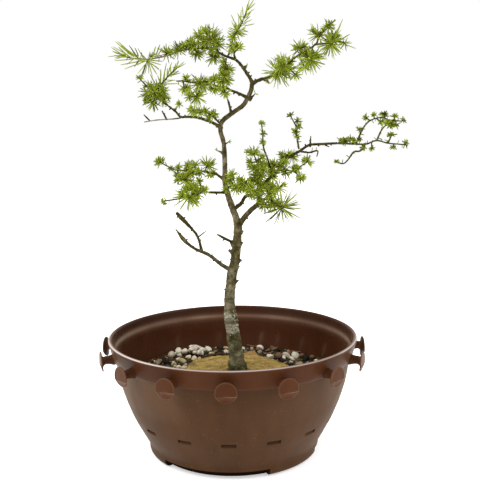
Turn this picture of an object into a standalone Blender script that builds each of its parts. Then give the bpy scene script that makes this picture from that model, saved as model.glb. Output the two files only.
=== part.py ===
"""American larch trained as a small tree, in its moulded plastic training pot.

The pot stands on z = 0. Lengths in the tables below are in millimetres and are scaled to metres by MM.
The front of the plant, the side with the long bare branch at its left, faces -Y.
"""

import math
import random

import bmesh
import bpy
import numpy as np
from mathutils import Matrix, Vector
from mathutils.bvhtree import BVHTree

MM = 0.001
TAU = 2 * math.pi

# Pot
RIM_RADIUS = 140
POT_HEIGHT = 132
COLLAR_BOTTOM = 111
LEDGE = 119  # the inside of the wall steps out here
FLOOR_UNDER, FLOOR_TOP = 8.5, 11.5
POT_SIDES = 45
BODY_OUTLINE = [(94.5, 1.2), (96.6, 5), (97.2, 13), (106.4, 30), (114.8, 46.5), (121.2, 63), (127.5, 83)]
INSIDE_OUTLINE = [(94.6, 14.5), (105.3, 33), (112, 46.5), (120.2, 68), (124, 79.5), (126.8, 92)]
BODY_TOP = (131.8, 108)
COUNT = 15  # drain slots round the foot, and buttons round the collar
FRONT_TURN = math.radians(-2.8)
SLOT_WIDTH, SLOT_HEIGHT, SLOT_Z = 16, 5, 45
FEET = 3
NOTCH_ANGLE, NOTCH_START = math.radians(74), math.radians(-51)
NOTCH_RADIUS, NOTCH_HEIGHT = 86.5, 8.5
BUTTON_Z, BUTTON_RADIUS, BUTTON_THICKNESS = 113, 11.2, 2.4
BUTTON_FACE = 150.5  # from the pot's axis to a button's outer face
BUTTON_CREASE, BUTTON_LEAN = -3.6, math.radians(15)
POST_RADIUS = 4.5

# Soil, root ball and stones
GAP = 0.3  # between pieces that touch
SOIL_TOP = 79.2
SOIL_RADIUS = 123
ROOT_BALL_CENTRE = (10, 6)
ROOT_BALL_RADIUS, ROOT_BALL_BOTTOM, ROOT_BALL_EDGE, ROOT_BALL_TOP = 63, 60.5, 84.5, 89
STONE_BED = (79.5, 85.4)  # fine gravel between the stones: its underside and its top
STONE_REACH = 123
STONE_SPACING = 15.5
STONE_SIZES = (8, 11)

# Wood: each branch is a list of (x, y, z) with its radius at the foot and at the tip
TRUNK = [(5.4, 0, 62), (5.4, 0, 90), (3, 0, 113), (0, 0, 136), (-1.6, 0, 149), (-3, 0, 163), (-2.9, 0, 173),
         (-1.8, 0, 185), (0, 1, 198), (4, 1, 217), (6, 1, 233), (7, 0, 246), (7.6, 0, 255), (6, -1, 263),
         (2, -2, 275), (-3, -1, 290), (-6, 0, 303), (-6, 1, 315), (-6, 3, 331), (-7, 4, 348), (-10, 4, 359),
         (-10, 4, 367), (-6, 3, 373), (5, 2, 381), (15, 0, 388), (20, -1, 396), (24, -2, 405), (25, -2, 414)]
TRUNK_RADII = [9.1, 9.3, 7.9, 7.3, 7.2, 6.2, 5.6, 5.5, 5.4, 5.0, 4.8, 4.5, 4.4, 3.9, 3.5, 3.1, 2.9,
               2.7, 2.5, 2.4, 2.4, 2.6, 2.6, 2.4, 2.4, 2.3, 2.3, 2.2]
TRUNK_HOLE = 9.8
BRANCHES = [
    # the dead fork low on the left, and the stub above it
    (2.4, 1.1, [(2, 0, 204), (-10, -6, 212), (-25, -17, 226), (-40, -27, 235), (-50, -35, 245),
                (-59, -39, 258)]),
    (1.5, 1.4, [(-32, -22, 230), (-36, -15, 244), (-41, -13, 252), (-53, -6, 264), (-60, -2, 271)]),
    (0.6, 0.3, [(-37, -15, 245), (-28, -8, 251)]),
    (1.7, 0.6, [(4, 0, 237), (-3, -6, 240), (-15, -14, 248)]),
    # right side
    (3.1, 2.3, [(8, 0, 256), (19, -10, 271), (29, -18, 281), (33, -22, 285)]),
    (2.0, 1.3, [(2, -1, 274), (11, 7, 279), (17, 13, 287), (27, 18, 289), (41, 25, 303), (54, 31, 314),
                (64, 36, 326), (81, 41, 336), (91, 42, 342), (105, 41, 343), (122, 36, 344)]),
    (0.9, 0.4, [(92, 42, 340), (93, 45, 352)]),
    (0.9, 0.5, [(109, 41, 342), (113, 34, 340)]),
    (0.8, 0.4, [(80, 41, 335), (90, 34, 334), (99, 28, 336), (98, 24, 330)]),
    # left side, from the lowest up
    (1.6, 1.3, [(-6, 1, 306), (-15, 11, 312), (-19, 17, 313)]),
    (1.5, 1.2, [(-4, -1, 293), (-16, -11, 294), (-24, -18, 295)]),
    (1.8, 1.1, [(-9, 6, 363), (-20, 13, 370), (-36, 21, 375), (-47, 27, 376), (-55, 31, 376),
                (-61, 35, 382), (-69, 39, 388)]),
    (0.8, 0.4, [(-50, 28, 376), (-61, 25, 374), (-80, 17, 373), (-94, 8, 371)]),
    (0.6, 0.3, [(-88, 13, 372), (-94, 7, 379)]),
    (0.7, 0.4, [(-70, 21, 373), (-75, 20, 383)]),
    (1.7, 1.2, [(20, -1, 396), (9, -11, 401), (1, -20, 404)]),
    (1.5, 0.7, [(2, 2, 379), (0, -3, 388), (-2, -10, 395)]),
    # the two forks at the top of the trunk
    (1.8, 1.2, [(25, -2, 412), (22, 1, 418), (15, 8, 429), (8, 14, 437), (-4, 20, 442),
                (-11, 24, 446)]),
    (2.0, 1.4, [(25, -2, 411), (34, -10, 415), (41, -14, 416), (48, -20, 419)]),
]
THORNS = [((39, -13, 415), (43, -20, 411)), ((22, -1, 394), (28, -10, 400)),
          ((15, 8, 428), (20, 6, 431)), ((-7, 6, 345), (-2, 0, 348)), ((-7, 3, 336), (-14, 1, 339)),
          ((5, 1, 225), (-4, -3, 228)), ((5, 1, 214), (11, -3, 218)), ((8, 0, 247), (14, -2, 250)),
          ((0, 1, 191), (8, -3, 194)), ((-1, 0, 181), (-9, -2, 184)), ((-1, 0, 160), (3, 13, 163))]
THORN_RADII = (1.1, 0.3)

# Leafy sprays: green twigs, tufts, each with the reach of its needles, and shoots set with single needles
SPRAYS = {
    "spray_left_top": {
        "twigs": [[(-12, 24, 447), (-15, 27, 451), (-36, 32, 451), (-54, 36, 449), (-71, 42, 444),
                   (-91, 48, 441), (-104, 50, 442), (-113, 52, 443), (-120, 52, 446)]],
        "tufts": [(-20, 24, 460, 18), (-28, 41, 458, 15), (-38, 25, 454, 12), (-47, 43, 454, 9),
                  (-56, 32, 450, 12), (-70, 46, 447, 12), (-35, 34, 446, 12), (-17, 36, 442, 12),
                  (-87, 46, 444, 7), (-91, 43, 438, 18)],
        "shoot": ((-93, 48, 441), (-120, 52, 446), 18),
    },
    "spray_leader": {
        "twigs": [[(0, 18, 443), (2, 17, 449), (5, 14, 460), (12, 11, 471), (17, 8, 481),
                   (20, 7, 488)]],
        "tufts": [(3, 8, 452, 9), (9, 21, 467, 12), (5, 12, 461, 9)],
        "shoot": ((7, 13, 464), (20, 7, 488), 15),
    },
    "spray_top_twig": {
        "twigs": [[(7, 13, 439), (6, 8, 444), (10, 2, 448)]],
        "tufts": [(11, 1, 450, 8), (5, 7, 446, 6)],
    },
    "spray_hanging": {
        "twigs": [[(-3, 18, 439), (-4, 11, 430), (-5, 3, 421)]],
        "tufts": [(-4, 15, 427, 9), (-5, 1, 419, 11), (-9, 0, 414, 8)],
    },
    "spray_right_top": {
        "twigs": [[(49, -21, 419), (60, -27, 427), (69, -31, 436), (78, -34, 442), (90, -36, 449),
                   (95, -34, 458), (103, -31, 466), (111, -28, 474)],
                  [(89, -36, 449), (105, -45, 450), (113, -49, 451), (120, -52, 449)]],
        "tufts": [(52, -28, 421, 19), (60, -17, 424, 15), (56, -36, 429, 15), (75, -25, 446, 13),
                  (84, -46, 433, 17), (83, -28, 437, 14), (94, -25, 460, 13), (103, -38, 467, 9),
                  (104, -52, 448, 16), (108, -41, 454, 13), (118, -53, 449, 8)],
    },
    "spray_left_upper": {
        "twigs": [[(0, -21, 405), (-12, -29, 408), (-21, -35, 410), (-34, -41, 411), (-47, -48, 413),
                   (-54, -50, 413)],
                  [(-33, -41, 411), (-33, -34, 404), (-34, -28, 398)]],
        "tufts": [(-30, -49, 411, 13), (-44, -43, 415, 7), (-16, -28, 414, 9), (-4, -28, 401, 8),
                  (-15, -38, 405, 8), (-34, -25, 397, 12), (-46, -52, 405, 8), (-26, -32, 408, 8),
                  (-42, -28, 398, 8)],
    },
    "spray_left_inner": {
        "twigs": [[(-12, 2, 370), (-18, -6, 376), (-26, -11, 381), (-38, -17, 384)]],
        "tufts": [(-39, -18, 383, 9), (-32, -8, 381, 8), (-26, -17, 382, 7), (-18, -2, 377, 8),
                  (-22, -12, 375, 6)],
    },
    "spray_left_cluster": {
        "twigs": [[(-70, 41, 389), (-77, 43, 394), (-84, 46, 401), (-80, 43, 409), (-69, 39, 421),
                   (-59, 36, 430)],
                  [(-84, 46, 401), (-93, 50, 410), (-102, 53, 419)]],
        "tufts": [(-82, 38, 401, 14), (-93, 52, 403, 13), (-77, 52, 396, 12), (-75, 39, 405, 12),
                  (-87, 43, 393, 14), (-90, 57, 410, 11), (-81, 53, 408, 12), (-102, 53, 420, 6)],
        "shoot": ((-80, 43, 409), (-59, 36, 430), 12),
    },
    "spray_left_small": {
        "twigs": [[(-61, 35, 384), (-59, 31, 387), (-55, 27, 390)]],
        "tufts": [(-56, 27, 390, 6)],
    },
    "spray_left_middle": {
        "twigs": [[(-20, 18, 313), (-34, 28, 315), (-48, 36, 315), (-62, 45, 315), (-70, 49, 318),
                   (-80, 53, 323)],
                  [(-43, 33, 315), (-48, 27, 309), (-50, 21, 304)]],
        "tufts": [(-81, 53, 324, 9), (-69, 56, 316, 5), (-59, 38, 318, 7), (-47, 43, 318, 11),
                  (-34, 21, 314, 8), (-26, 28, 321, 13), (-23, 22, 312, 8), (-50, 20, 305, 12),
                  (-44, 26, 312, 9), (-54, 33, 308, 8), (-61, 42, 311, 7)],
    },
    "spray_left_low": {
        "twigs": [[(-25, -20, 296), (-32, -25, 296), (-45, -35, 293), (-55, -43, 291), (-69, -52, 290)],
                  [(-27, -21, 296), (-32, -14, 302), (-34, -10, 307)]],
        "tufts": [(-44, -38, 292, 16), (-36, -18, 293, 10), (-41, -34, 300, 12), (-28, -28, 299, 7),
                  (-34, -8, 307, 6), (-51, -41, 294, 10), (-70, -52, 289, 5)],
    },
    "spray_trunk": {
        "twigs": [[(-2, -2, 299), (5, -14, 302), (15, -22, 304), (22, -28, 301)]],
        "tufts": [(0, -14, 306, 8), (6, -17, 299, 11), (15, -25, 305, 9), (22, -29, 300, 8),
                  (11, -19, 299, 7), (27, -32, 296, 7)],
    },
    "spray_middle_a": {
        "twigs": [[(31, 17, 294), (30, 8, 305), (31, 2, 317), (29, 0, 327), (26, -2, 334)]],
        "tufts": [(26, -2, 335, 12), (32, 7, 324, 9), (27, -6, 319, 10), (33, -6, 311, 9),
                  (27, 13, 304, 9), (34, 4, 300, 9)],
    },
    "spray_middle_b": {
        "twigs": [[(46, 25, 310), (45, 17, 318), (42, 13, 328), (37, 7, 342), (36, 2, 357),
                   (35, 0, 366)]],
        "tufts": [(46, 11, 315, 9), (50, 20, 321, 9), (39, 22, 320, 9), (36, 3, 348, 5),
                  (37, 6, 357, 5), (35, 0, 368, 5)],
    },
    "spray_middle_c": {
        "twigs": [[(60, 31, 319), (63, 17, 316), (71, 6, 314), (76, -3, 310)],
                  [(69, 9, 315), (77, 2, 320), (84, 0, 325)]],
        "tufts": [(62, 17, 313, 9), (71, -2, 317, 9), (77, -7, 308, 8), (85, 0, 326, 9)],
    },
    "spray_middle_d": {
        "twigs": [[(68, 41, 329), (68, 48, 330), (71, 56, 328)]],
        "tufts": [(64, 50, 328, 12), (73, 59, 328, 11)],
    },
    "spray_middle_e": {
        "twigs": [[(37, 27, 299), (40, 38, 299), (46, 50, 302)]],
        "tufts": [(43, 42, 296, 10), (48, 53, 305, 10)],
    },
    "spray_low_right": {
        "twigs": [[(34, -24, 286), (40, -31, 288), (47, -39, 285), (53, -46, 281)],
                  [(40, -31, 288), (45, -22, 295), (51, -17, 299)]],
        "tufts": [(54, -48, 281, 22), (41, -36, 294, 12), (46, -28, 282, 13), (36, -35, 282, 10),
                  (44, -27, 299, 10), (52, -15, 299, 12)],
    },
    "spray_right": {
        "twigs": [[(123, 36, 344), (143, 31, 343), (154, 27, 343), (165, 22, 347), (177, 18, 344),
                   (188, 14, 343), (198, 11, 342)],
                  [(143, 31, 343), (149, 36, 355), (155, 41, 364), (161, 43, 369), (171, 46, 372),
                   (179, 46, 371), (184, 42, 368)],
                  [(165, 22, 347), (171, 24, 359), (177, 25, 365)],
                  [(153, 27, 343), (146, 17, 336), (138, 13, 335), (131, 7, 327), (125, 2, 323),
                   (116, -2, 325)],
                  [(177, 18, 344), (181, 20, 352)],
                  [(183, 43, 369), (196, 36, 368)]],
        "tufts": [(132, 39, 346, 7), (140, 27, 347, 5), (149, 41, 348, 5), (151, 32, 339, 5),
                  (147, 32, 359, 5), (157, 48, 372, 5.5), (165, 43, 375, 5), (179, 52, 375, 7),
                  (186, 48, 365, 7), (189, 43, 373, 6), (197, 36, 369, 5), (177, 25, 366, 7),
                  (159, 18, 339, 5), (181, 20, 353, 6), (196, 15, 344, 6), (117, -2, 325, 4),
                  (183, 38, 364, 7), (183, 17, 340, 5)],
    },
    "spray_riser": {
        "twigs": [[(79, 41, 338), (77, 42, 351), (76, 39, 362), (70, 34, 374)]],
        "tufts": [(77, 38, 352, 5), (75, 45, 358, 6), (78, 36, 364, 5), (69, 34, 376, 5)],
    },
}
TWIG_RADII = (1.0, 0.6)
STALK_FROM, STALK_PAST = 1.2, 0.45  # a bud this far off has a stalk, which ends past the twig's middle
CORE_RADIUS = 1.9  # of the bud that a tuft's needles grow from
SMALL_REACH, SMALL_CORE_RADIUS = 6.5, 1.5  # up to this reach a tuft grows from a smaller bud
NEEDLE_COUNTS = [(5.5, 6), (7, 7), (9.5, 9), (14, 11), (30, 14)]  # up to each reach, so many needles
LENGTH_SPREAD = (0.84, 1.06)  # shortest and longest needle of a tuft, as shares of its reach
SHOOT_NEEDLES, SHOOT_LEAN = 14, math.radians(48)
NEEDLE_RADIUS = 0.6
NEEDLE_CLEARANCE = 1.2
SHORTER = (1, 0.75, 0.5)
SEAT_GAP = 0.35  # between the end of a spray's first twig and the wood that carries it

PLASTIC_COLLAR = (0.085, 0.03, 0.02)


def remove_everything():
    for obj in list(bpy.data.objects):
        bpy.data.objects.remove(obj, do_unlink=True)


def new_collection(name, hidden=False):
    made = bpy.data.collections.new(name)
    bpy.context.scene.collection.children.link(made)
    made.hide_render = hidden
    return made


def material(name, colour, roughness, metallic=0.0):
    made = bpy.data.materials.new(name)
    made.use_nodes = True
    shader = made.node_tree.nodes["Principled BSDF"]
    shader.inputs["Base Color"].default_value = (*colour, 1)
    shader.inputs["Roughness"].default_value = roughness
    shader.inputs["Metallic"].default_value = metallic
    return made


def object_of(name, mesh, collection, look=None, smooth=False):
    obj = bpy.data.objects.new(name, mesh)
    obj.display_type = "WIRE" if collection.hide_render else "TEXTURED"
    collection.objects.link(obj)
    if look:
        mesh.materials.clear()
        mesh.materials.append(look)
    for face in mesh.polygons:
        face.use_smooth = smooth
    return obj


def object_from_bmesh(name, bm, collection, matrix=None):
    """The bmesh as an object, moved by the matrix, with its lengths scaled from millimetres."""
    if matrix:
        bm.transform(matrix)
    bm.transform(Matrix.Scale(MM, 4))
    mesh = bpy.data.meshes.new(name)
    bm.to_mesh(mesh)
    bm.free()
    return object_of(name, mesh, collection)


def baked(obj, name, collection, look=None, smooth=False):
    """A new object with the given one's mesh, its modifiers and curve settings applied."""
    bpy.context.view_layer.update()
    graph = bpy.context.evaluated_depsgraph_get()
    mesh = bpy.data.meshes.new_from_object(obj.evaluated_get(graph))
    bm = bmesh.new()
    bm.from_mesh(mesh)
    bmesh.ops.remove_doubles(bm, verts=bm.verts, dist=1e-6)
    bm.to_mesh(mesh)
    bm.free()
    mesh.transform(obj.matrix_world)
    bpy.data.objects.remove(obj, do_unlink=True)
    return object_of(name, mesh, collection, look, smooth)


def turned(name, outline, sides, collection):
    """The outline of (radius, height) points turned round Z by a Screw modifier."""
    bm = bmesh.new()
    verts = [bm.verts.new((r, 0, z)) for r, z in outline]
    for a, b in zip(verts, verts[1:]):
        bm.edges.new((a, b))
    obj = object_from_bmesh(name, bm, collection)
    screw = obj.modifiers.new("turn", "SCREW")
    screw.steps = screw.render_steps = sides
    screw.use_merge_vertices = True
    screw.merge_threshold = 0.00001
    screw.use_normal_calculate = True
    return obj


def tube(name, points, radii, sides, collection):
    """A tapering stem through the points: a curve with a round bevel, made a mesh. 4 or more even sides."""
    curve = bpy.data.curves.new(name, "CURVE")
    curve.dimensions = "3D"
    curve.bevel_depth = MM
    curve.bevel_resolution = (sides - 4) // 2
    curve.use_fill_caps = True
    spline = curve.splines.new("POLY")
    spline.points.add(len(points) - 1)
    for point, place, radius in zip(spline.points, points, radii):
        point.co = (*(Vector(place) * MM), 1)
        point.radius = radius
    obj = bpy.data.objects.new(name, curve)
    collection.objects.link(obj)
    return baked(obj, name, collection)


def tapered(points, first, last):
    """A radius for each point, from first to last by the length along the points."""
    steps = [0.0]
    for a, b in zip(points, points[1:]):
        steps.append(steps[-1] + (Vector(b) - Vector(a)).length)
    return [first + (last - first) * step / steps[-1] for step in steps]


def joined(name, first, others, collection, look, operation="UNION", smooth=False):
    """One Boolean of the first object with a collection of others, applied, and the others removed."""
    boolean = first.modifiers.new("join", "BOOLEAN")
    boolean.operation = operation
    boolean.operand_type = "COLLECTION"
    boolean.collection = others
    boolean.solver = "EXACT"
    made = baked(first, name, collection, look, smooth)
    for obj in list(others.objects):
        bpy.data.objects.remove(obj, do_unlink=True)
    return made


def turn_z(angle):
    return Matrix.Rotation(angle, 4, "Z")


# Pot

def pot_outline():
    return [(0, FLOOR_UNDER), (80.5, FLOOR_UNDER), (82, 0), (91.5, 0), *BODY_OUTLINE, BODY_TOP,
            (135, COLLAR_BOTTOM), (RIM_RADIUS, POT_HEIGHT - 2), (RIM_RADIUS - 1.5, POT_HEIGHT),
            (RIM_RADIUS - 3.6, POT_HEIGHT), (RIM_RADIUS - 4.6, POT_HEIGHT - 3),
            (133.4, LEDGE + 0.8), (130.6, LEDGE - 0.8),
            *reversed(INSIDE_OUTLINE), (90, FLOOR_TOP), (0, FLOOR_TOP)]


def button(index, collection):
    """A thin disc on a short post, its lower third leaning in towards the pot."""
    bm = bmesh.new()
    bmesh.ops.create_cone(bm, cap_ends=True, segments=12, radius1=BUTTON_RADIUS,
                          radius2=BUTTON_RADIUS - 0.7, depth=BUTTON_THICKNESS)
    bmesh.ops.bisect_plane(bm, geom=bm.verts[:] + bm.edges[:] + bm.faces[:],
                           plane_co=(0, BUTTON_CREASE, 0), plane_no=(0, 1, 0))
    lower = [v for v in bm.verts if v.co.y < BUTTON_CREASE - 0.01]
    bmesh.ops.rotate(bm, verts=lower, cent=(0, BUTTON_CREASE, 0),
                     matrix=Matrix.Rotation(BUTTON_LEAN, 3, "X"))
    # The disc's own Z points out from the pot, and its Y points up.
    stand = Matrix.Rotation(math.radians(90), 4, "X")
    turn = turn_z(FRONT_TURN + index * TAU / COUNT)
    place = turn @ Matrix.Translation((0, BUTTON_THICKNESS / 2 - BUTTON_FACE, BUTTON_Z))
    object_from_bmesh(f"disc_{index}", bm, collection, place @ stand)
    bm = bmesh.new()
    inner, outer = 135.0, BUTTON_FACE - BUTTON_THICKNESS + 0.6
    bmesh.ops.create_cone(bm, cap_ends=True, segments=6, radius1=POST_RADIUS, radius2=POST_RADIUS,
                          depth=outer - inner)
    place = turn @ Matrix.Translation((0, -(inner + outer) / 2, BUTTON_Z + 1.5))
    object_from_bmesh(f"post_{index}", bm, collection, place @ stand)


def drain_slot(index, collection):
    bm = bmesh.new()
    bmesh.ops.create_cube(bm, size=1, matrix=Matrix.Diagonal((SLOT_WIDTH, 30, SLOT_HEIGHT, 1)))
    object_from_bmesh(f"slot_{index}", bm, collection,
                      turn_z(FRONT_TURN + index * TAU / COUNT) @ Matrix.Translation((0, -116, SLOT_Z)))


def foot_notch(index, collection):
    """A recess in the outside of the foot ring: an arc-shaped block that cuts it away between two feet."""
    outer, steps = 101, 12
    start = NOTCH_START + index * TAU / FEET
    angles = [start + NOTCH_ANGLE * i / steps for i in range(steps + 1)]
    ring = [(outer * math.sin(a), -outer * math.cos(a)) for a in angles]
    ring += [(NOTCH_RADIUS * math.sin(a), -NOTCH_RADIUS * math.cos(a)) for a in reversed(angles)]
    bm = bmesh.new()
    face = bm.faces.new([bm.verts.new((x, y, -3)) for x, y in ring])
    top = bmesh.ops.extrude_face_region(bm, geom=[face])["geom"]
    raised = [v for v in top if isinstance(v, bmesh.types.BMVert)]
    bmesh.ops.translate(bm, vec=(0, 0, 3 + NOTCH_HEIGHT), verts=raised)
    bmesh.ops.recalc_face_normals(bm, faces=bm.faces)
    object_from_bmesh(f"notch_{index}", bm, collection)


def make_pot(collection, pieces):
    body = turned("pot_body", pot_outline(), POT_SIDES, collection)
    for index in range(COUNT):
        button(index, pieces)
    body = joined("pot_body", body, pieces, collection, None)
    for index in range(COUNT):
        drain_slot(index, pieces)
    for index in range(FEET):
        foot_notch(index, pieces)
    look = material("moulded brown plastic", PLASTIC_COLLAR, 0.4)
    return joined("pot", body, pieces, collection, look, "DIFFERENCE", smooth=True)


# Soil, root ball and stones

def round_block(name, centre, radius, bottom, top, sides, collection):
    bm = bmesh.new()
    bmesh.ops.create_cone(bm, cap_ends=True, segments=sides, radius1=radius, radius2=radius,
                          depth=top - bottom)
    return object_from_bmesh(name, bm, collection, Matrix.Translation((*centre, (top + bottom) / 2)))


def make_soil(collection, pieces):
    outline = [(0, FLOOR_TOP + GAP), (89, FLOOR_TOP + GAP)]
    outline += [(r - GAP - 0.5, z) for r, z in INSIDE_OUTLINE[:-2]]
    outline += [(SOIL_RADIUS, SOIL_TOP), (0, SOIL_TOP)]
    soil = turned("soil", outline, 36, collection)
    round_block("pit", ROOT_BALL_CENTRE, ROOT_BALL_RADIUS + 0.6, ROOT_BALL_BOTTOM - GAP, SOIL_TOP + 20,
                28, pieces)
    look = material("dark potting soil", (0.035, 0.024, 0.016), 0.95)
    return joined("soil", soil, pieces, collection, look, "DIFFERENCE", smooth=True)


def make_root_ball(collection, pieces):
    """The sandy mass that the tree was planted with, uneven on top, with a plain hole for the trunk."""
    rng = random.Random(11)
    outline = [(0, ROOT_BALL_BOTTOM), (ROOT_BALL_RADIUS - 1.5, ROOT_BALL_BOTTOM), (ROOT_BALL_RADIUS, 64),
               (ROOT_BALL_RADIUS, ROOT_BALL_EDGE)]
    rise = ROOT_BALL_TOP - ROOT_BALL_EDGE
    for share in (0.93, 0.75, 0.5, 0.25):
        height = ROOT_BALL_EDGE + rise * (1 - share ** 2) + 0.8 * (1 - share)
        outline.append((ROOT_BALL_RADIUS * share, height))
    outline.append((0, ROOT_BALL_TOP + 0.6))
    ball = baked(turned("root_ball", outline, 24, collection), "root_ball", collection)
    for vert in ball.data.vertices:
        radius = math.hypot(vert.co.x, vert.co.y)
        if vert.co.z > (ROOT_BALL_EDGE + 0.2) * MM and radius > 16 * MM:
            vert.co.z += rng.uniform(-1.0, 1.2) * MM
    ball.data.transform(Matrix.Translation((ROOT_BALL_CENTRE[0] * MM, ROOT_BALL_CENTRE[1] * MM, 0)))
    round_block("hole", TRUNK[0][:2], TRUNK_HOLE, TRUNK[0][2] - GAP, ROOT_BALL_TOP + 20, 12, pieces)
    look = material("sandy root ball", (0.42, 0.31, 0.15), 0.95)
    return joined("root_ball", ball, pieces, collection, look, "DIFFERENCE")


def stone_places(rng):
    """Places for stones between the root ball and the pot's wall, STONE_SPACING or more apart."""
    places = []
    for _ in range(6000):
        angle, reach = rng.uniform(0, TAU), math.sqrt(rng.uniform(0, 1))
        size = rng.uniform(*STONE_SIZES)
        x, y = math.cos(angle) * reach * STONE_REACH, math.sin(angle) * reach * STONE_REACH
        if math.hypot(x, y) + size > STONE_REACH - 0.5:
            continue
        if math.hypot(x - ROOT_BALL_CENTRE[0], y - ROOT_BALL_CENTRE[1]) < ROOT_BALL_RADIUS + size + 1:
            continue
        if all(math.hypot(x - px, y - py) > STONE_SPACING for px, py, _ in places):
            places.append((x, y, size))
    return places


def make_stones(collection, pieces):
    """Angular gravel on a thin bed, a ring round the root ball."""
    rng = random.Random(5)
    bed = turned("bed", [(0, STONE_BED[0]), (STONE_REACH, STONE_BED[0]), (STONE_REACH, STONE_BED[1]),
                         (0, STONE_BED[1])], 40, collection)
    round_block("pit", ROOT_BALL_CENTRE, ROOT_BALL_RADIUS + 0.6, 70, 110, 28, pieces)
    bed = joined("bed", bed, pieces, collection, None, "DIFFERENCE")
    for index, (x, y, size) in enumerate(stone_places(rng)):
        bm = bmesh.new()
        bmesh.ops.create_cube(bm, size=1)
        turn = turn_z(rng.uniform(0, TAU)) @ Matrix.Rotation(rng.uniform(0.15, 0.5), 4, "X")
        shape = Matrix.Diagonal((size * rng.uniform(1.1, 1.4), size * rng.uniform(0.9, 1.2),
                                 size * rng.uniform(0.5, 0.75), 1))
        height = STONE_BED[1] + rng.uniform(0.8, 2.0)
        object_from_bmesh(f"stone_{index}", bm, pieces, Matrix.Translation((x, y, height)) @ turn @ shape)
    look = material("pale gravel", (0.5, 0.47, 0.42), 0.8)
    return joined("stones", bed, pieces, collection, look)


# Tree

class Occupied:
    """Every stem and needle placed so far, as segments with a radius, by the node that holds it."""

    def __init__(self):
        self.rows = []

    def add(self, node, group, start, end, radius):
        self.rows.append((node, group, *start, *end, radius))

    def add_stem(self, node, points, radii):
        for a, b, ra, rb in zip(points, points[1:], radii, radii[1:]):
            self.add(node, node, a, b, max(ra, rb))

    def clearance(self, start, end, radius, others):
        """The least gap from this segment to the segments that others(node, group) picks."""
        rows = [row for row in self.rows if others(row[0], row[1])]
        if not rows:
            return math.inf
        table = np.array([row[2:] for row in rows])
        a, b, radii = table[:, :3], table[:, 3:6], table[:, 6]
        along = np.linspace(0, 1, 14)[:, None]
        points = np.array(start) * (1 - along) + np.array(end) * along
        side = b - a
        length = np.maximum((side ** 2).sum(axis=1), 1e-9)
        offset = points[:, None] - a
        share = np.clip((offset * side).sum(axis=2) / length, 0, 1)
        nearest = a + share[..., None] * side
        gap = np.linalg.norm(points[:, None] - nearest, axis=2) - radii - radius
        return float(gap.min())


def make_wood(collection, pieces, occupied):
    """Trunk, bare branches and thorns, grown as one."""
    trunk = tube("trunk", TRUNK, TRUNK_RADII, 10, collection)
    occupied.add_stem("wood", TRUNK, TRUNK_RADII)
    for index, (first, last, points) in enumerate(BRANCHES):
        radii = tapered(points, first, last)
        tube(f"branch_{index}", points, radii, 6 if first > 1.2 else 4, pieces)
        occupied.add_stem("wood", points, radii)
    for index, points in enumerate(THORNS):
        tube(f"thorn_{index}", points, THORN_RADII, 4, pieces)
        occupied.add_stem("wood", points, THORN_RADII)
    look = material("larch bark", (0.14, 0.115, 0.08), 0.9)
    return joined("wood", trunk, pieces, collection, look, smooth=True)


def seated(points, wood):
    """The twig with its first point slid along its own line until its end is SEAT_GAP from the wood."""
    bm = bmesh.new()
    bm.from_mesh(wood.data)
    bm.transform(Matrix.Scale(1 / MM, 4))
    tree = BVHTree.FromBMesh(bm)
    first, second = Vector(points[0]), Vector(points[1])
    along = (second - first).normalized()
    side = along.orthogonal().normalized()
    radius = TWIG_RADII[0]
    near = [vert.co.copy() for vert in bm.verts if (vert.co - first).length < 12]
    bm.free()

    def clear(start):
        for step in range(16):
            around = Matrix.Rotation(TAU * step / 16, 3, along) @ side
            for reach in (0, 0.5, 1):
                for down in (0, 0.7, 1.5):
                    point = start + around * radius * reach + along * down
                    nearest, normal, _, gap = tree.find_nearest(point)
                    if gap < SEAT_GAP or (point - nearest).dot(normal) < 0:
                        return False
        for vert in near:
            ahead = (vert - start).dot(along)
            off = max(0, (vert - start - along * ahead).length - radius)
            if math.hypot(off, min(ahead, 0)) < SEAT_GAP:
                return False
        return True

    slide = min((second - first).length - 1, 4)
    while clear(first + along * (slide - 0.1)) and slide > -5:
        slide -= 0.1
    return [first + along * slide, *points[1:]]


def nearest_on(twigs, place):
    """The point nearest to place on any of the twigs."""
    best = None
    for points in twigs:
        for a, b in zip(points, points[1:]):
            a, b = Vector(a), Vector(b)
            share = max(0, min(1, (place - a).dot(b - a) / (b - a).length_squared))
            point = a + share * (b - a)
            if best is None or (place - point).length < (place - best).length:
                best = point
    return best


def core_radius(reach):
    return SMALL_CORE_RADIUS if reach < SMALL_REACH else CORE_RADIUS


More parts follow.
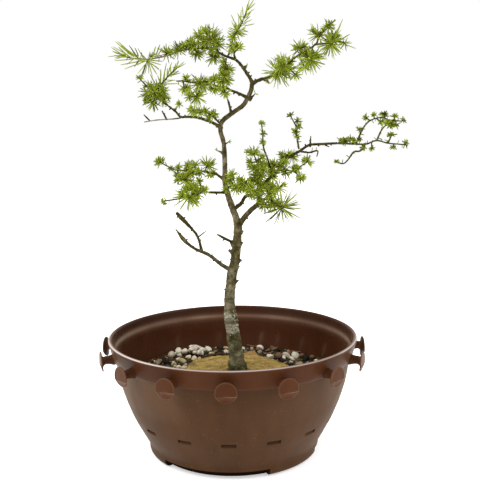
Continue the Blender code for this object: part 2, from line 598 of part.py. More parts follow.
def tuft(node, group, centre, foot, tuft_reach, rng, collection, occupied):
    """A bud: its faces that look away from the twig are drawn out into needles, and one into a stalk."""
    stalk = foot - centre
    away = -stalk.normalized() if stalk.length > 0.01 else Vector((0, 0, 1))
    bm = bmesh.new()
    core = core_radius(tuft_reach)
    if tuft_reach < SMALL_REACH:
        bmesh.ops.create_uvsphere(bm, u_segments=4, v_segments=2, radius=core)
    else:
        bmesh.ops.create_icosphere(bm, subdivisions=1, radius=core)
    count = next(number for limit, number in NEEDLE_COUNTS if tuft_reach < limit)
    turn = Matrix.Rotation(rng.uniform(0, TAU), 3, Vector((rng.uniform(-1, 1), rng.uniform(-1, 1), 1)))
    bmesh.ops.rotate(bm, verts=bm.verts, matrix=turn)
    faces = sorted(bm.faces, key=lambda face: -face.calc_center_median().normalized().dot(away))
    reach = {}
    for face in faces[:count + 3]:
        outward = face.calc_center_median().normalized()
        full = tuft_reach * rng.uniform(*LENGTH_SPREAD)
        start = centre + outward * (core + 0.5)
        for share in SHORTER:
            end = centre + outward * full * share
            others = occupied.clearance(start, end, NEEDLE_RADIUS, lambda n, g: n != node)
            own = occupied.clearance(start, end, NEEDLE_RADIUS, lambda n, g: n == node and g != group)
            if others > NEEDLE_CLEARANCE and own > 0:
                reach[face] = full * share
                occupied.add(node, group, start, end, NEEDLE_RADIUS)
                break
        if len(reach) == count:
            break
    drawn = {face.calc_center_median().normalized().freeze(): length for face, length in reach.items()}
    if stalk.length > STALK_FROM:
        reach[faces[-1]] = 0
    for vert in bmesh.ops.poke(bm, faces=list(reach))["verts"]:
        outward = max(drawn, key=vert.co.normalized().dot)
        if outward.dot(vert.co.normalized()) > 0.999:
            vert.co = outward * drawn[outward]
        else:
            vert.co = stalk - away * STALK_PAST
    return object_from_bmesh(f"tuft_{group}", bm, collection, Matrix.Translation(centre))


def single_needles(node, shoot, rng, collection, occupied):
    """Needles one by one round a long shoot, leaning towards its tip."""
    start, end, reach = Vector(shoot[0]), Vector(shoot[1]), shoot[2]
    axis = (end - start).normalized()
    side = axis.orthogonal().normalized()
    for index in range(SHOOT_NEEDLES):
        base = start + (end - start) * (index + 0.5) / SHOOT_NEEDLES
        around = Matrix.Rotation(index * 2.4, 3, axis) @ side
        lean = SHOOT_LEAN * (1 - 0.6 * index / SHOOT_NEEDLES)
        outward = axis * math.cos(lean) + around * math.sin(lean)
        length = reach * rng.uniform(*LENGTH_SPREAD)
        root, tip = base - outward * 0.8, base + outward * length
        others = occupied.clearance(root, tip, NEEDLE_RADIUS, lambda n, g: n != node)
        own = occupied.clearance(base + outward * 3, tip, 0.1, lambda n, g: n == node)
        if others < NEEDLE_CLEARANCE or own < 0:
            continue
        bm = bmesh.new()
        bmesh.ops.create_cone(bm, cap_ends=True, segments=3, radius1=0.75, radius2=0,
                              depth=(tip - root).length)
        turn = outward.to_track_quat("Z", "Y").to_matrix().to_4x4()
        object_from_bmesh(f"needle_{index}", bm, collection, Matrix.Translation((root + tip) / 2) @ turn)
        occupied.add(node, f"needle_{index}", root, tip, NEEDLE_RADIUS)


def tuft_plans(name, parts):
    """For each tuft of a spray: its group, its centre, its foot on the twig, and its needles' reach."""
    plans = []
    for index, (*place, reach) in enumerate(parts["tufts"]):
        plans.append((f"{name}_{index}", Vector(place), nearest_on(parts["twigs"], Vector(place)), reach))
    return plans


def keep_stems_free(sprays, occupied):
    """Note every twig and bud before the first needle grows, so that no needle runs into one."""
    for name, parts in sprays.items():
        for points in parts["twigs"]:
            occupied.add_stem(name, points, tapered(points, *TWIG_RADII))
        for group, centre, foot, reach in tuft_plans(name, parts):
            occupied.add(name, group, foot, centre, core_radius(reach))


def make_spray(name, parts, look, collection, pieces, occupied, rng):
    """Twigs, tufts and single needles of one leafy spray, fused into one piece."""
    stems = [tube(f"twig_{index}", points, tapered(points, *TWIG_RADII), 4, pieces)
             for index, points in enumerate(parts["twigs"])]
    first = stems[0]
    pieces.objects.unlink(first)
    collection.objects.link(first)
    for group, centre, foot, reach in tuft_plans(name, parts):
        tuft(name, group, centre, foot, reach, rng, pieces, occupied)
    if "shoot" in parts:
        single_needles(name, parts["shoot"], rng, pieces, occupied)
    return joined(name, first, pieces, collection, look)


def centre_on_origin(objects):
    """Move everything so that the middle of the whole plant's box is over the origin."""
    bpy.context.view_layer.update()
    corners = [obj.matrix_world @ Vector(corner) for obj in objects for corner in obj.bound_box]
    middle = [(min(c[axis] for c in corners) + max(c[axis] for c in corners)) / 2 for axis in (0, 1)]
    for obj in objects:
        obj.location.x -= middle[0]
        obj.location.y -= middle[1]


def main():
    remove_everything()
    plant = new_collection("american_larch_bonsai")
    pieces = new_collection("pieces_and_cutters", hidden=True)
    occupied = Occupied()
    make_pot(plant, pieces)
    make_soil(plant, pieces)
    make_root_ball(plant, pieces)
    make_stones(plant, pieces)
    wood = make_wood(plant, pieces, occupied)
    look = material("larch needles", (0.16, 0.3, 0.035), 0.6)
    rng = random.Random(7)
    sprays = {name: {**parts, "twigs": [seated(parts["twigs"][0], wood), *parts["twigs"][1:]]}
              for name, parts in SPRAYS.items()}
    keep_stems_free(sprays, occupied)
    for name, parts in sprays.items():
        make_spray(name, parts, look, plant, pieces, occupied, rng)
    centre_on_origin(plant.objects)


main()
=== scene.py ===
"""The looks of the larch bonsai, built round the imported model.

Lengths in the tables are in millimetres from the pot's axis and the surface that it stands on, as in the
part's source, and are scaled to metres by MM. The front of the plant faces -Y.
"""

import math
import random

import bmesh
import bpy
import numpy as np
from mathutils import Euler, Matrix, Vector, noise
from mathutils.bvhtree import BVHTree
from mathutils.kdtree import KDTree


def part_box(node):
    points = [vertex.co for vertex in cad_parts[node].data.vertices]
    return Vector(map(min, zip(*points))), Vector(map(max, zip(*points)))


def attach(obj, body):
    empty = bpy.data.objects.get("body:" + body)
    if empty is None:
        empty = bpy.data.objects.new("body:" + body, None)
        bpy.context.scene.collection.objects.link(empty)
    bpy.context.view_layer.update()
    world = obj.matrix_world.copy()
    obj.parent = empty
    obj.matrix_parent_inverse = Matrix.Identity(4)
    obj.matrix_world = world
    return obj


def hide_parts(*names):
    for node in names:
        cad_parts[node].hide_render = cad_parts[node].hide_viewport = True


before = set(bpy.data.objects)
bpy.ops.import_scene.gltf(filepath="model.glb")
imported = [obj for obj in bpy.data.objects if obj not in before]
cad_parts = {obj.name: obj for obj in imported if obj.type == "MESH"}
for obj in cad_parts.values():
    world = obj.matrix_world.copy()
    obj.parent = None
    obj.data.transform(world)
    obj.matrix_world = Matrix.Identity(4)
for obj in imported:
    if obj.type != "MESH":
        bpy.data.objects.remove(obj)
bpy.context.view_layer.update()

MM = 0.001
TAU = 2 * math.pi
GROUND_SEED, FALLEN_SEED, WOOD_SEED, CRUST_SEED, LEAFLET_SEED, SPRAY_SEED = 21, 31, 41, 51, 61, 700
SOIL_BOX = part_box("soil")
AXIS = Vector(((SOIL_BOX[0].x + SOIL_BOX[1].x) / 2, (SOIL_BOX[0].y + SOIL_BOX[1].y) / 2, 0))

# Camera, fitted to the photograph: from the pot's axis, in millimetres and degrees
CAMERA_PLACE = (0, -929.5, 384.8)
CAMERA_DOWN, CAMERA_RIGHT, CAMERA_ROLL = 8.89, 0.60, 0.71
CAMERA_LENS, SENSOR = 63.2, 36.0
# Lights: name, place in metres, width and power
LIGHTS = [("key", (-1.0, -0.6, 1.5), 1.0, 16), ("fill", (1.2, -0.3, 1.0), 0.9, 7),
          ("top", (0, 0.3, 1.9), 1.4, 10)]
LIGHT_AIM = Vector((0, 0, 0.22))
FLOOR_SIZE, FLOOR_Z, FLOOR_COLOUR, FLOOR_GLOW = 8, -0.0005, (0.93, 0.93, 0.93), 0.42

# Pot
COUNT = 15
PER_UNIT = 12  # steps round the pot for each slot and button
FRONT_TURN = math.radians(-2.8)
SLOT_WIDTH = 16
MOUTH_INSET, HOUSING_WALL = 1.2, 1.8
# a slot's pocket, its housing behind the wall and its mouth, each as (distance from the axis, height)
SLOT_POCKET = [(112.9, 41.2), (121, 41.2), (121, 46.5), (109.9, 46.5)]
SLOT_HOUSING = [(109.3, 37.0), (106.1, 40.0), (106.0, 48.8), (113.4, 48.8), (111.6, 42.0)]
SLOT_MOUTH = [(98, 45.6), (111.4, 45.6), (111.4, 46.4), (98, 46.4)]
FEET = 3
NOTCH_ANGLE, NOTCH_START, NOTCH_STEPS = math.radians(74), math.radians(-51), 24
NOTCH_RADII, NOTCH_HEIGHTS = (86.5, 101), (-3, 8.5)
BUTTON_Z, BUTTON_SIDES, BUTTON_FACE = 113, 40, 149.5
BUTTON_CREASE, CREASE_HALF, CREASE_RISE, BUTTON_LEAN = -3.6, 0.45, 0.35, math.radians(15)
POST_RISE, POST_END = 1.5, 147.5
# the wall between two slots stands out a little, over this height and this share of the way round
PANEL_RISE, PANEL_Z, PANEL_REACH, PANEL_SHARE = 0.22, (50, 106), 118, (0.2, 0.8)
SHARP_ANGLE = math.radians(38)
# from the axis under the floor, out and up to the rim, then down the inside to the floor again
POT_OUTLINE = [
    (0, 8.5), (80, 8.5), (80.7, 7.8), (81.4, 1.0), (82.4, 0), (90.0, 0), (91.9, 0.3), (93.6, 1.0),
    (95.2, 2.2), (96.1, 3.7), (96.6, 5.6), (96.8, 8.6), (97.1, 12.0), (98.0, 14.8), (99.7, 18.0),
    (102.7, 23.4), (106.2, 29.8), (109.6, 36.2), (112.4, 41.4), (115.0, 46.9), (117.8, 53.8), (121.1, 62.5),
    (124.4, 72.5), (127.5, 83.0), (129.6, 94.0), (131.4, 105.5), (131.8, 108.0), (132.3, 109.6),
    (133.6, 110.5), (134.6, 110.9), (135.2, 111.7), (136.0, 115.0), (137.6, 121.0), (139.2, 127.0),
    (140.0, 130.0), (139.9, 130.9), (139.4, 131.6), (138.5, 132.0), (137.2, 132.0), (136.4, 131.7),
    (135.9, 131.0), (135.5, 129.0), (134.8, 125.0), (134.4, 122.8), (134.0, 121.6), (133.4, 120.7),
    (132.7, 120.0), (132.0, 119.3), (131.4, 118.4), (131.0, 117.2), (130.6, 115.6), (129.9, 112.0),
    (128.8, 103.5), (127.6, 96.0), (126.8, 92.0), (124.2, 80.5), (120.2, 68.0), (116.1, 56.5),
    (112.0, 46.5), (105.3, 33.0), (95.0, 15.0), (92.8, 12.6), (90.0, 11.5), (0, 11.5)]
# a button's outline: (radius, distance of its face from the pot's axis)
BUTTON_OUTLINE = [
    (0, 134.2), (6.2, 134.2), (6.0, 136.4), (5.3, 138.4), (4.7, 141.0), (4.5, 144.0), (4.9, 146.3),
    (6.2, 147.7), (8.4, 148.3), (10.4, 148.5), (11.0, 148.8), (11.2, 149.3), (11.1, 149.8), (10.7, 150.15),
    (10.1, 150.2), (9.5, 150.0), (8.6, 150.02), (5.0, 150.3), (0, 150.45)]
COLLAR_Z, INNER_COLLAR_Z, RIM_Z = 110.6, 123, 131.5
BUTTON_HEAD = 145.5
# the pot's four plastics, and where each one is; the last is plastic painted near black as shade
BOWL, COLLAR, INSIDE, SHADED_RECESS = 0, 1, 2, 3
# the foot's notches and the slots' end walls, which get the painted shade, and the housings' heights
NOTCH_LOOK, NOTCH_BACK, FOOT_TOP = (84, 97.5), 88, 8.6
SLOT_LOOK_Z, SLOT_LOOK, HOUSING_Z = (43, 47.5), (106, 115.5), (38, 50)
# reach of a button's rim and of its crease, and radius and widths of those two painted highlight lines
RIM_REACH, CREASE_REACH, RIM_RADIUS, RIM_LINE, CREASE_LINE = 149, 149.4, 10.6, 0.45, 0.3
BUTTON_REACH, CREASE_FADE = 150, (-9, 5)  # reach of a button's face, and where across it the crease sets in
# how much painted highlight a button gets: on its rim, its crease and its lower face, and at most
RIM_PALE, CREASE_PALE, BELOW_PALE, MOST_PALE = 0.07, 0.26, 0.025, 0.4
POT_REACH, COLLAR_REACH, UNDER_REACH = 141, (134.8, 136.2), 60
# above this height the outside wall gets painted side light, and painted shadow under the collar
WALL_PAINTED_Z = 60
# where the slots' upper lips are painted dark as shade
SLOT_LIP_Z, SLOT_LIP_REACH = (45, 48), (107, 113.2)
# height of the painted reflections on the inside wall at the back
REFLECTION_Z = (84, 101)
# painted highlights: how much paler the plastic is painted up the rounded rim, and on the ledge
# inside, each row as (distance from the axis, height, share)
RIM_PAINTED_HIGHLIGHT = [(139.9, 130.9, 0.05), (139.4, 131.6, 0.95), (138.5, 132.0, 0.45), (137.2, 132.0, 0.03)]
LEDGE_PAINTED_HIGHLIGHT = [
    (134.8, 125.0, 0.03), (134.4, 122.8, 0.08), (134.0, 121.6, 0.16), (133.4, 120.7, 0.23),
    (132.7, 120.0, 0.28), (132.0, 119.3, 0.27), (131.4, 118.4, 0.2), (131.0, 117.2, 0.12),
    (130.6, 115.6, 0.05)]
HIGHLIGHT_REACH = 0.25
# where the painted side light and shade set in and where they are full, by how far a place is to
# the side, as a share of its reach
SIDE_BACK, SIDE_FRONT, SIDE_MORE = (0.6, 1), (0.34, 0.5), (0.5, 0.95)
# painted highlights fade by y on the rim and the ledge, by x on the rim's left, middle and right,
# and the painted shade inside the collar by x
RIM_Y, LEDGE_Y, RIM_LEFT_X, RIM_MIDDLE_X, RIM_RIGHT_X = (-60, 60), (0, 110), (50, 90), (0, 110), (105, 118)
INNER_COLLAR_X = (-20, 110)
# by height on the wall, for all of its painted side light and for the painted shadow under the collar
WALL_PALE_Z, WALL_HIGH_Z = (62, 80), (84, 108)
# painted shade on the collar's left and right sides, and on the slots' upper lips
COLLAR_DEEP_LEFT, COLLAR_DEEP_RIGHT, LIP_DEEP = 0.3, 0.14, 0.5
# the ledge's painted glint, and the painted reflections on the inside wall over the stones:
# (degrees round from the back, strength)
LEDGE_GLINT = [
    (-100, 1), (-75, 1), (-61, 0.85), (-49, 0.53), (-27, 0.45), (-17, 1), (-7, 0.6), (10, 0.45), (30, 0.67),
    (42, 0.45), (57, 0.62), (69, 0.77), (80, 0.9), (100, 1)]
REFLECTIONS = [(-33, 0.6), (-8, 0.8), (17, 1.4), (27, 0.7), (43, 0.9), (61, 1.2)]
REFLECTION_STRENGTH, REFLECTION_HALF = 0.07, 1.3
ALL_PALE = 0.67

# Soil, root ball and stones
ROOT_BALL_CENTRE = (10, 6)
ROOT_BALL_RADIUS, ROOT_BALL_EDGE, ROOT_BALL_TOP = 63, 87.2, 89.4
# where sand has spread past the root ball's edge, or lacks there: direction, reach and width of a lobe
LOBES = [(math.radians(80), 22, 0.15), (math.radians(140), 10, 0.6), (math.radians(38), -6, 0.5)]
EDGE_DEPTH, EDGE_WAVES = 3.2, 2.2  # how ragged the root ball's edge is
SAND_ROUGHNESS = [(1.1, 0.07), (0.75, 0.24), (0.55, 0.8)]  # depth, and waves to so many millimetres
SAND_REACH, SAND_RINGS, SAND_SIDES, SAND_LOW, SAND_UNDER = 93, 74, 210, 80.7, 80.5
TONGUE_FROM, TONGUE_TO, TONGUE_X, TONGUE_HALF = 60, 70, 25, 24  # the browner sand behind the trunk
GRIT_LEVEL, WALL_LEVEL = 85.2, 81.3
GRIT_REACH, GRIT_RINGS, GRIT_SIDES, GRIT_UNDER = 123, 46, 150, 80.0
STONE_REACH, FALLEN_REACH = 121.5, 112
GRIT_TRIES, STONE_TRIES, LARGE_TRIES, FALLEN_TRIES = 2300, 2400, 900, 90
GRIT_SIZES, STONE_SIZES, SMALLER = (0.8, 1.9), (2.2, 5.4), 0.65  # half widths
# a seen stone is so much larger than what shows of it, and may lie on so many others
SEEN_LARGER, OTHERS_LARGER, SEEN_PILE = {"pale": 1.3}, 1.2, 4
FALLEN_LENGTHS, FALLEN_HALF = (7, 16), 0.35
SOIL_SIDES = 120
# stones overlap within this share of their sizes, and each lies so much of its size above what is under it
OVERLAP, ABOVE_GRIT, ABOVE_STONE = 0.7, 0.3, 0.45
# shares of pale stones behind the root ball, in the heaps in front and between them, and less near the wall
PALE_BEHIND, PALE_HEAP, PALE_BETWEEN, NEAR_WALL, WALL_SHARE = 0.03, 0.45, 0.14, 108, 0.5
HEAP_WAVES, HEAP_FROM, CREAM_SHARE = 0.03, 0.12, 0.6
OTHERS_BEHIND, OTHERS_FRONT = (0.1, 0.5, 0.16), (0.2, 0.5, 0.24)  # shares of grey, dark and brown stones
# the potting mix, drawn in behind the slots' housings: (radius, height)
SOIL_OUTLINE = [
    (0, 11.9), (88.5, 11.9), (91.4, 13.4), (93.2, 16), (101.5, 29), (102.8, 36), (103.4, 44), (104.6, 52),
    (115.2, 57), (119.4, 68), (121.8, 76), (122.2, 79), (0, 79.1)]
# the gravel's colours: dark, mid and light, then roughness, spots and gloss
STONE_LOOKS = {
    "pale": ((0.16, 0.13, 0.085), (0.34, 0.295, 0.215), (0.56, 0.51, 0.42), 0.6, 0.25),
    "cream": ((0.16, 0.12, 0.052), (0.34, 0.275, 0.145), (0.56, 0.48, 0.31), 0.6, 0.25),
    "grey": ((0.06, 0.056, 0.046), (0.15, 0.14, 0.115), (0.3, 0.28, 0.235), 0.6, 0.3),
    "dark": ((0.004, 0.003, 0.0015), (0.013, 0.0098, 0.0052), (0.045, 0.037, 0.023), 0.8, 0, 0.08),
    "brown": ((0.06, 0.028, 0.011), (0.17, 0.095, 0.043), (0.36, 0.24, 0.125), 0.7, 0.3),
}
GRIT_LOOK = ((0.01, 0.006, 0.0025), (0.05, 0.032, 0.013), (0.2, 0.145, 0.07), 0.95, 0, 0.08)
SOIL_LOOK = ((0.008, 0.006, 0.004), (0.024, 0.018, 0.012), (0.07, 0.05, 0.035), 0.95, 0, 0.8)
# the stones that the photograph shows, behind and beside the root ball: place and size of each
SEEN_STONES = {
    "pale": [
        (-75, 72, 5.2), (-65, 70, 3.6), (-59, 74, 5), (-54, 85, 4.2), (-50, 89, 5), (-44, 90, 5),
        (-39, 74, 4.8), (-30, 92, 4.4), (-8, 83, 3.6), (13, 97, 2.8), (34, 95, 4.2), (45, 56, 4.2),
        (65, 59, 5), (76, 59, 5), (69, 34, 3.2), (-55, 10, 2.4), (-48, 82, 4.2), (-66, 74, 4),
        (-46, 70, 4.4), (-41, 67, 3.6), (-38, 82, 4.2), (-51, 73, 4.2), (71, 48, 3.8), (60, 52, 4),
        (45, 50, 3.4), (-70, 80, 3.8)],
    "cream": [
        (-47, 56, 4.6), (-61, 46, 5), (-70, 35, 4.4), (-26, 76, 3.8), (78, 24, 4.8), (100, 44, 4),
        (-58, 20, 4), (-66, 52, 3.6), (-64, 23, 3.6), (-54, 62, 3.6)],
    "brown": [
        (-22, 82, 2.6), (51, 103, 5), (55, 53, 4.8), (84, 62, 4.4), (97, 61, 4.4), (-94, 67, 5.6),
        (-89, 44, 4.8), (43, 86, 3.6)],
    "dark": [
        (-79, 41, 5), (-85, 59, 4.4), (-99, 45, 5), (-76, 24, 4), (87, 43, 5), (61, 74, 4.6),
        (-16, 98, 4.4)],
}

# Wood: each branch with its radius at the foot and at the tip
TRUNK = [
    (5.4, 0, 62), (5.4, 0, 90), (3, 0, 113), (0, 0, 136), (-1.6, 0, 149), (-3, 0, 163), (-2.9, 0, 173),
    (-1.8, 0, 185), (0, 1, 198), (4, 1, 217), (6, 1, 233), (7, 0, 246), (7.6, 0, 255), (6, -1, 263),
    (2, -2, 275), (-3, -1, 290), (-6, 0, 303), (-6, 1, 315), (-6, 3, 331), (-7, 4, 348), (-10, 4, 359),
    (-10, 4, 367), (-6, 3, 373), (5, 2, 381), (15, 0, 388), (20, -1, 396), (24, -2, 405), (25, -2, 414)]
TRUNK_RADII = [
    9.1, 9.3, 7.9, 7.3, 7.2, 6.2, 5.6, 5.5, 5.4, 5.0, 4.8, 4.5, 4.4, 3.9, 3.5, 3.1, 2.9, 2.7, 2.5, 2.4, 2.4,
    2.6, 2.6, 2.4, 2.4, 2.3, 2.3, 2.2]
BRANCHES = [
    (2.4, 1.1, [(2, 0, 204), (-10, -6, 212), (-25, -17, 226), (-40, -27, 235), (-50, -35, 245),
        (-59, -39, 258)]),
    (1.5, 1.4, [(-32, -22, 230), (-36, -15, 244), (-41, -13, 252), (-53, -6, 264), (-60, -2, 271)]),
    (0.6, 0.3, [(-37, -15, 245), (-28, -8, 251)]),
    (1.7, 0.6, [(4, 0, 237), (-3, -6, 240), (-15, -14, 248)]),
    (3.1, 2.3, [(8, 0, 256), (19, -10, 271), (29, -18, 281), (33, -22, 285)]),
    (2.0, 1.3, [(2, -1, 274), (11, 7, 279), (17, 13, 287), (27, 18, 289), (41, 25, 303), (54, 31, 314),
        (64, 36, 326), (81, 41, 336), (91, 42, 342), (105, 41, 343), (122, 36, 344)]),
    (0.9, 0.4, [(92, 42, 340), (93, 45, 352)]),
    (0.9, 0.5, [(109, 41, 342), (113, 34, 340)]),
    (0.8, 0.4, [(80, 41, 335), (90, 34, 334), (99, 28, 336), (98, 24, 330)]),
    (1.6, 1.3, [(-6, 1, 306), (-15, 11, 312), (-19, 17, 313)]),
    (1.5, 1.2, [(-4, -1, 293), (-16, -11, 294), (-24, -18, 295)]),
    (1.8, 1.1, [(-9, 6, 363), (-20, 13, 370), (-36, 21, 375), (-47, 27, 376), (-55, 31, 376),
        (-61, 35, 382), (-69, 39, 388)]),
    (0.8, 0.4, [(-50, 28, 376), (-61, 25, 374), (-80, 17, 373), (-94, 8, 371)]),
    (0.6, 0.3, [(-88, 13, 372), (-94, 7, 379)]),
    (0.7, 0.4, [(-70, 21, 373), (-75, 20, 383)]),
    (1.7, 1.2, [(20, -1, 396), (9, -11, 401), (1, -20, 404)]),
    (1.5, 0.7, [(2, 2, 379), (0, -3, 388), (-2, -10, 395)]),
    (1.8, 1.2, [(25, -2, 412), (22, 1, 418), (15, 8, 429), (8, 14, 437), (-4, 20, 442), (-11, 24, 446)]),
    (2.0, 1.4, [(25, -2, 411), (34, -10, 415), (41, -14, 416), (48, -20, 419)]),
]
# thicker stretches of some branches: how far along, over what share of the length, and by how much
SWELLINGS = {0: (0.84, 0.08, 0.8), 1: (0.84, 0.17, 1.0), 2: (0.5, 0.9, 0.25), 3: (0.8, 0.35, 0.55),
             6: (0.3, 0.7, 0.35), 8: (0.5, 0.8, 0.35), 12: (1.0, 0.5, 0.15), 13: (0.5, 0.8, 0.4),
             14: (0.5, 0.8, 0.4)}
# the pale twig is painted with lichen colour all along, as painted light for the strong light on it
DEAD_FORK, LEAFY_TWIG, PALE_TWIG = 0, 8, 12
THORNS = [
    ((39, -13, 415), (43, -20, 411)), ((22, -1, 394), (28, -10, 400)), ((15, 8, 428), (20, 6, 431)),
    ((-7, 6, 345), (-2, 0, 348)), ((-7, 3, 336), (-14, 1, 339)), ((5, 1, 225), (-4, -3, 228)),
    ((5, 1, 214), (11, -3, 218)), ((8, 0, 247), (14, -2, 250)), ((0, 1, 191), (8, -3, 194)),
    ((-1, 0, 181), (-9, -2, 184)), ((-1, 0, 160), (3, 13, 163))]
# short dead spikes on the trunk, beside the thorns of the solid
SPIKES = [
    [(4, 0, 217), (-2, -3, 218)], [(5, 0, 232), (-1.5, -3, 237)], [(6, -1, 233), (12.5, -4, 236)],
    [(3, 0, 208), (9, -3, 210)], [(0, 0, 199), (-5, -4, 201)], [(-3, 0, 172), (2.5, -5, 174)],
    [(-1, 0, 146), (6.8, -3, 148)], [(3, 0, 113), (-3, -7, 115)]]
THORN_RADII, THORN_STEP = (1.1, 0.3), 0.8
TRUNK_STEP, BRANCH_STEP, TWIG_STEP = 1.0, 1.1, 1.6
TRUNK_SIDES, BRANCH_SIDES, THIN_SIDES, THORN_SIDES, TWIG_SIDES, SPUR_SIDES = 32, 14, 8, 9, 8, 7
THICK = 1.3  # radius above which a branch flares at its foot
FLARE, FLARE_LENGTH = 0.55, 2.6
TRUNK_THORNS_Z = 260  # below here thorns spread broadly from the trunk
# knobs on the trunk where shoots once grew: place and radius
KNOBS = [
    ((-8, -4, 181), 2.4), ((4, -2, 186), 2.0), ((-9, 1, 172), 1.8), ((6, -4, 198), 2.2),
    ((-3, -5, 205), 1.9), ((8, 2, 232), 2.0), ((10, -2, 252), 2.2), ((1, -4, 238), 1.7), ((9, 1, 262), 1.8),
    ((-4, -3, 152), 2.0), ((3, -7, 128), 2.2), ((-7, -4, 120), 2.0), ((9, -3, 112), 2.1),
    ((-2, 6, 168), 2.1), ((5, 5, 215), 1.9)]
# rings of white lichen on the trunk, read off the photograph: height, spread and strength
LICHEN_RINGS = [
    (152.5, 4.2, 1.0), (143, 1.2, 0.8), (137, 3.6, 0.95), (175, 4, 0.4), (188, 5, 0.3), (205, 8, 0.25),
    (165, 3, 0.2)]
FOOT_LICHEN_TOP, FOOT_LICHEN_FADE, MOSS_TOP, MOSS_FADE = 128, 12, 150, 35
LICHEN_REACH, LICHEN_TOP = 13, 230  # lichen and moss stay this near the trunk's path and below this height
YOUNG_FROM, YOUNG_SPAN = 290, 130  # above here the bark is younger and darker
STRONG_RING = 0.5  # rings that are stronger have raised crusts
CRUST_TRIES, CRUST_SIZES, CRUST_THICK = 85, (0.9, 2.4), 0.3
CRUST_TURN, CRUST_TURN_SPREAD = -0.4, 1.3  # most crusts are on the front of the trunk, a little to its left
MOSS_TRIES, MOSS_ON_BARK, MOSS_LENGTHS, MOSS_HALF = 900, 0.55, (0.9, 2.2), 0.28
MOSS_FROM, MOSS_TO, MOSS_HIGHER = 88, 97, 8

